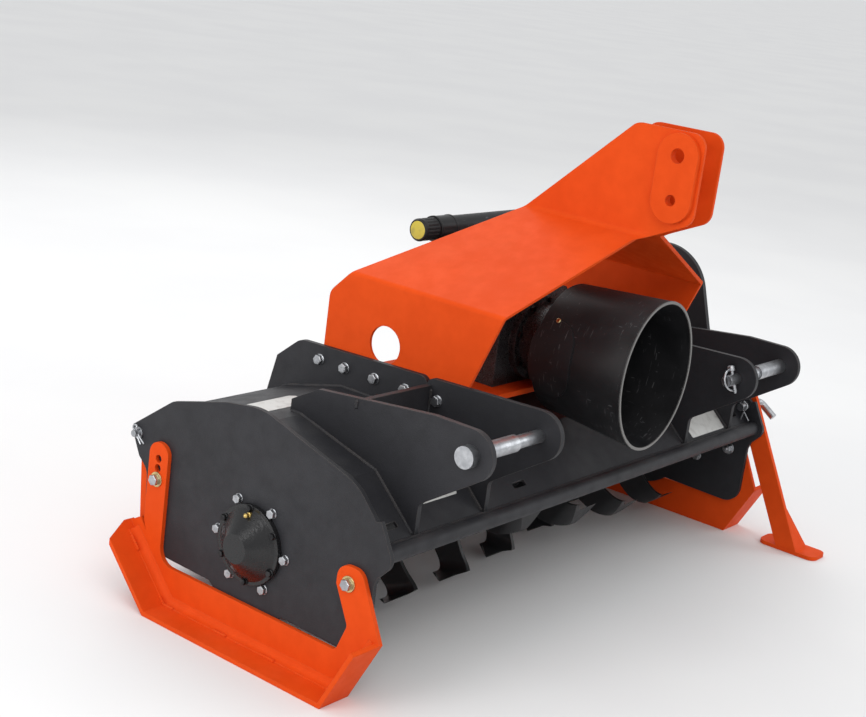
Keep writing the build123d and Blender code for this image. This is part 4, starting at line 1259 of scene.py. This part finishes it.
@dataclass
class Studio(Trim):
    """Camera at the photograph's angle, soft lights and a pale floor."""

    spot: Triple = (-2401.7, -1639.5, 1172.5)
    azimuth: float = -53.4
    elevation: float = 15.02
    roll: float = 7.66
    focal: float = 1582.1
    image_width: int = 866
    sensor: float = 36
    aim: Triple = (0.0, 0.0, 0.4)
    floor_half: float = 400
    floor_drop: float = 0.0004
    ceiling: Pair = (0.5, 70)
    sky: Colour = (0.97, 0.98, 0.99)
    sky_strength: float = 0.70

    def camera(self) -> None:
        """Place the camera."""
        a, e, r = (math.radians(v) for v in (self.azimuth, self.elevation, self.roll))
        level = Matrix.Rotation(a, 4, "Z") @ Matrix.Rotation(math.pi / 2 - e, 4, "X")
        data = bpy.data.cameras.new("camera")
        data.sensor_fit, data.sensor_width = "HORIZONTAL", self.sensor
        data.lens = self.sensor * self.focal / self.image_width
        made = link("camera", data)
        made.matrix_world = Matrix.Translation(self.at(*self.spot)) @ level @ Matrix.Rotation(r, 4, "Z")
        bpy.context.scene.camera = made

    def softbox(self, name: str, spot: Triple, size: Pair, power: float, tint: Colour) -> None:
        """Hang a soft light that faces the machine.

        Args:
            name: Name of the light.
            spot: Where it hangs, in metres.
            size: Its width and height in metres.
            power: Its power in watts.
            tint: Its colour.
        """
        data = bpy.data.lights.new(name, "AREA")
        data.shape, data.size, data.size_y = "RECTANGLE", *size
        data.energy, data.color = power, tint
        facing = (Vector(self.aim) - Vector(spot)).to_track_quat("-Z", "Y").to_matrix().to_4x4()
        link(name, data).matrix_world = Matrix.Translation(Vector(spot)) @ facing

    def floor(self) -> None:
        """Lay the pale floor."""
        mesh = bmesh.new()
        bmesh.ops.create_grid(mesh, x_segments=8, y_segments=8, size=self.floor_half)
        data = bpy.data.meshes.new("floor")
        mesh.to_mesh(data)
        mesh.free()
        tree = Tree("floor_paper")
        soft = tree.noise(1.2, 3)
        colour = soft.span(0.3, 0.7).blend((0.84, 0.84, 0.84), (0.81, 0.81, 0.815))
        data.materials.append(tree.finish(base_color=colour, roughness=0.85))
        made = link("floor", data)
        made.location.z = -self.floor_drop

    def build(self) -> None:
        """Make the whole studio."""
        self.camera()
        self.floor()
        self.softbox("key", (-2.4, -2.6, 3.6), (2.6, 2.2), 46, (1.0, 0.98, 0.95))
        self.softbox("fill", (3.2, -3, 2), (2.4, 2.4), 26, (0.96, 0.98, 1.0))
        self.softbox("rim", (1.6, 3.2, 3.2), (3, 1.6), 45, (1.0, 1.0, 1.0))
        self.softbox("side", (-3.6, 0.6, 1.5), (1.6, 2), 38, (1.0, 1.0, 1.0))
        ceiling = bpy.data.lights.new("ceiling", "SUN")
        ceiling.energy, ceiling.angle = self.ceiling[0], math.radians(self.ceiling[1])
        link("ceiling", ceiling)
        world = bpy.data.worlds.new("studio")
        world.use_nodes = True
        sky = world.node_tree.nodes["Background"].inputs
        sky["Color"].default_value, sky["Strength"].default_value = (*self.sky, 1.0), self.sky_strength
        bpy.context.scene.world = world
        bpy.context.scene.view_settings.view_transform = "Standard"


def dress(frame: dict[str, Any], paint: Paint) -> None:
    """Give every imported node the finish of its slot, and the bearing cap its own enamel.

    Args:
        paint: All finishes.
    """
    finishes = paint.by_slot()
    for row in frame["record"]["subparts"]:
        node = frame["nodes"][row["node"]]
        finish = paint.cap if row["node"] == "bearing_cap" else finishes[row["material_slot"]]
        node.data.materials.clear()
        node.data.materials.append(finish)
        LOG.info("%s wears %s", row["node"], finish.name)


def main() -> None:
    """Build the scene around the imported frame."""
    logging.basicConfig(level=logging.INFO, format="%(message)s")
    for item in list(bpy.data.objects):
        bpy.data.objects.remove(item)
    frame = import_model()
    joints = {joint["name"]: Vector(joint["pos_m"]) for joint in frame["joints"]}
    rotor = joints["rotor_spin"]
    paint = Paint(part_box("pto_shield")[0].y)
    dress(frame, paint)
    groups = (Welds, SkidSeams, BearingEnd, PlateBolts, Pins, ShaftTube, Canister, Gearing, TineBolts, Labels)
    for group in (*groups, Studio):
        group(rotor, paint).build()


if __name__ == "__main__":
    main()
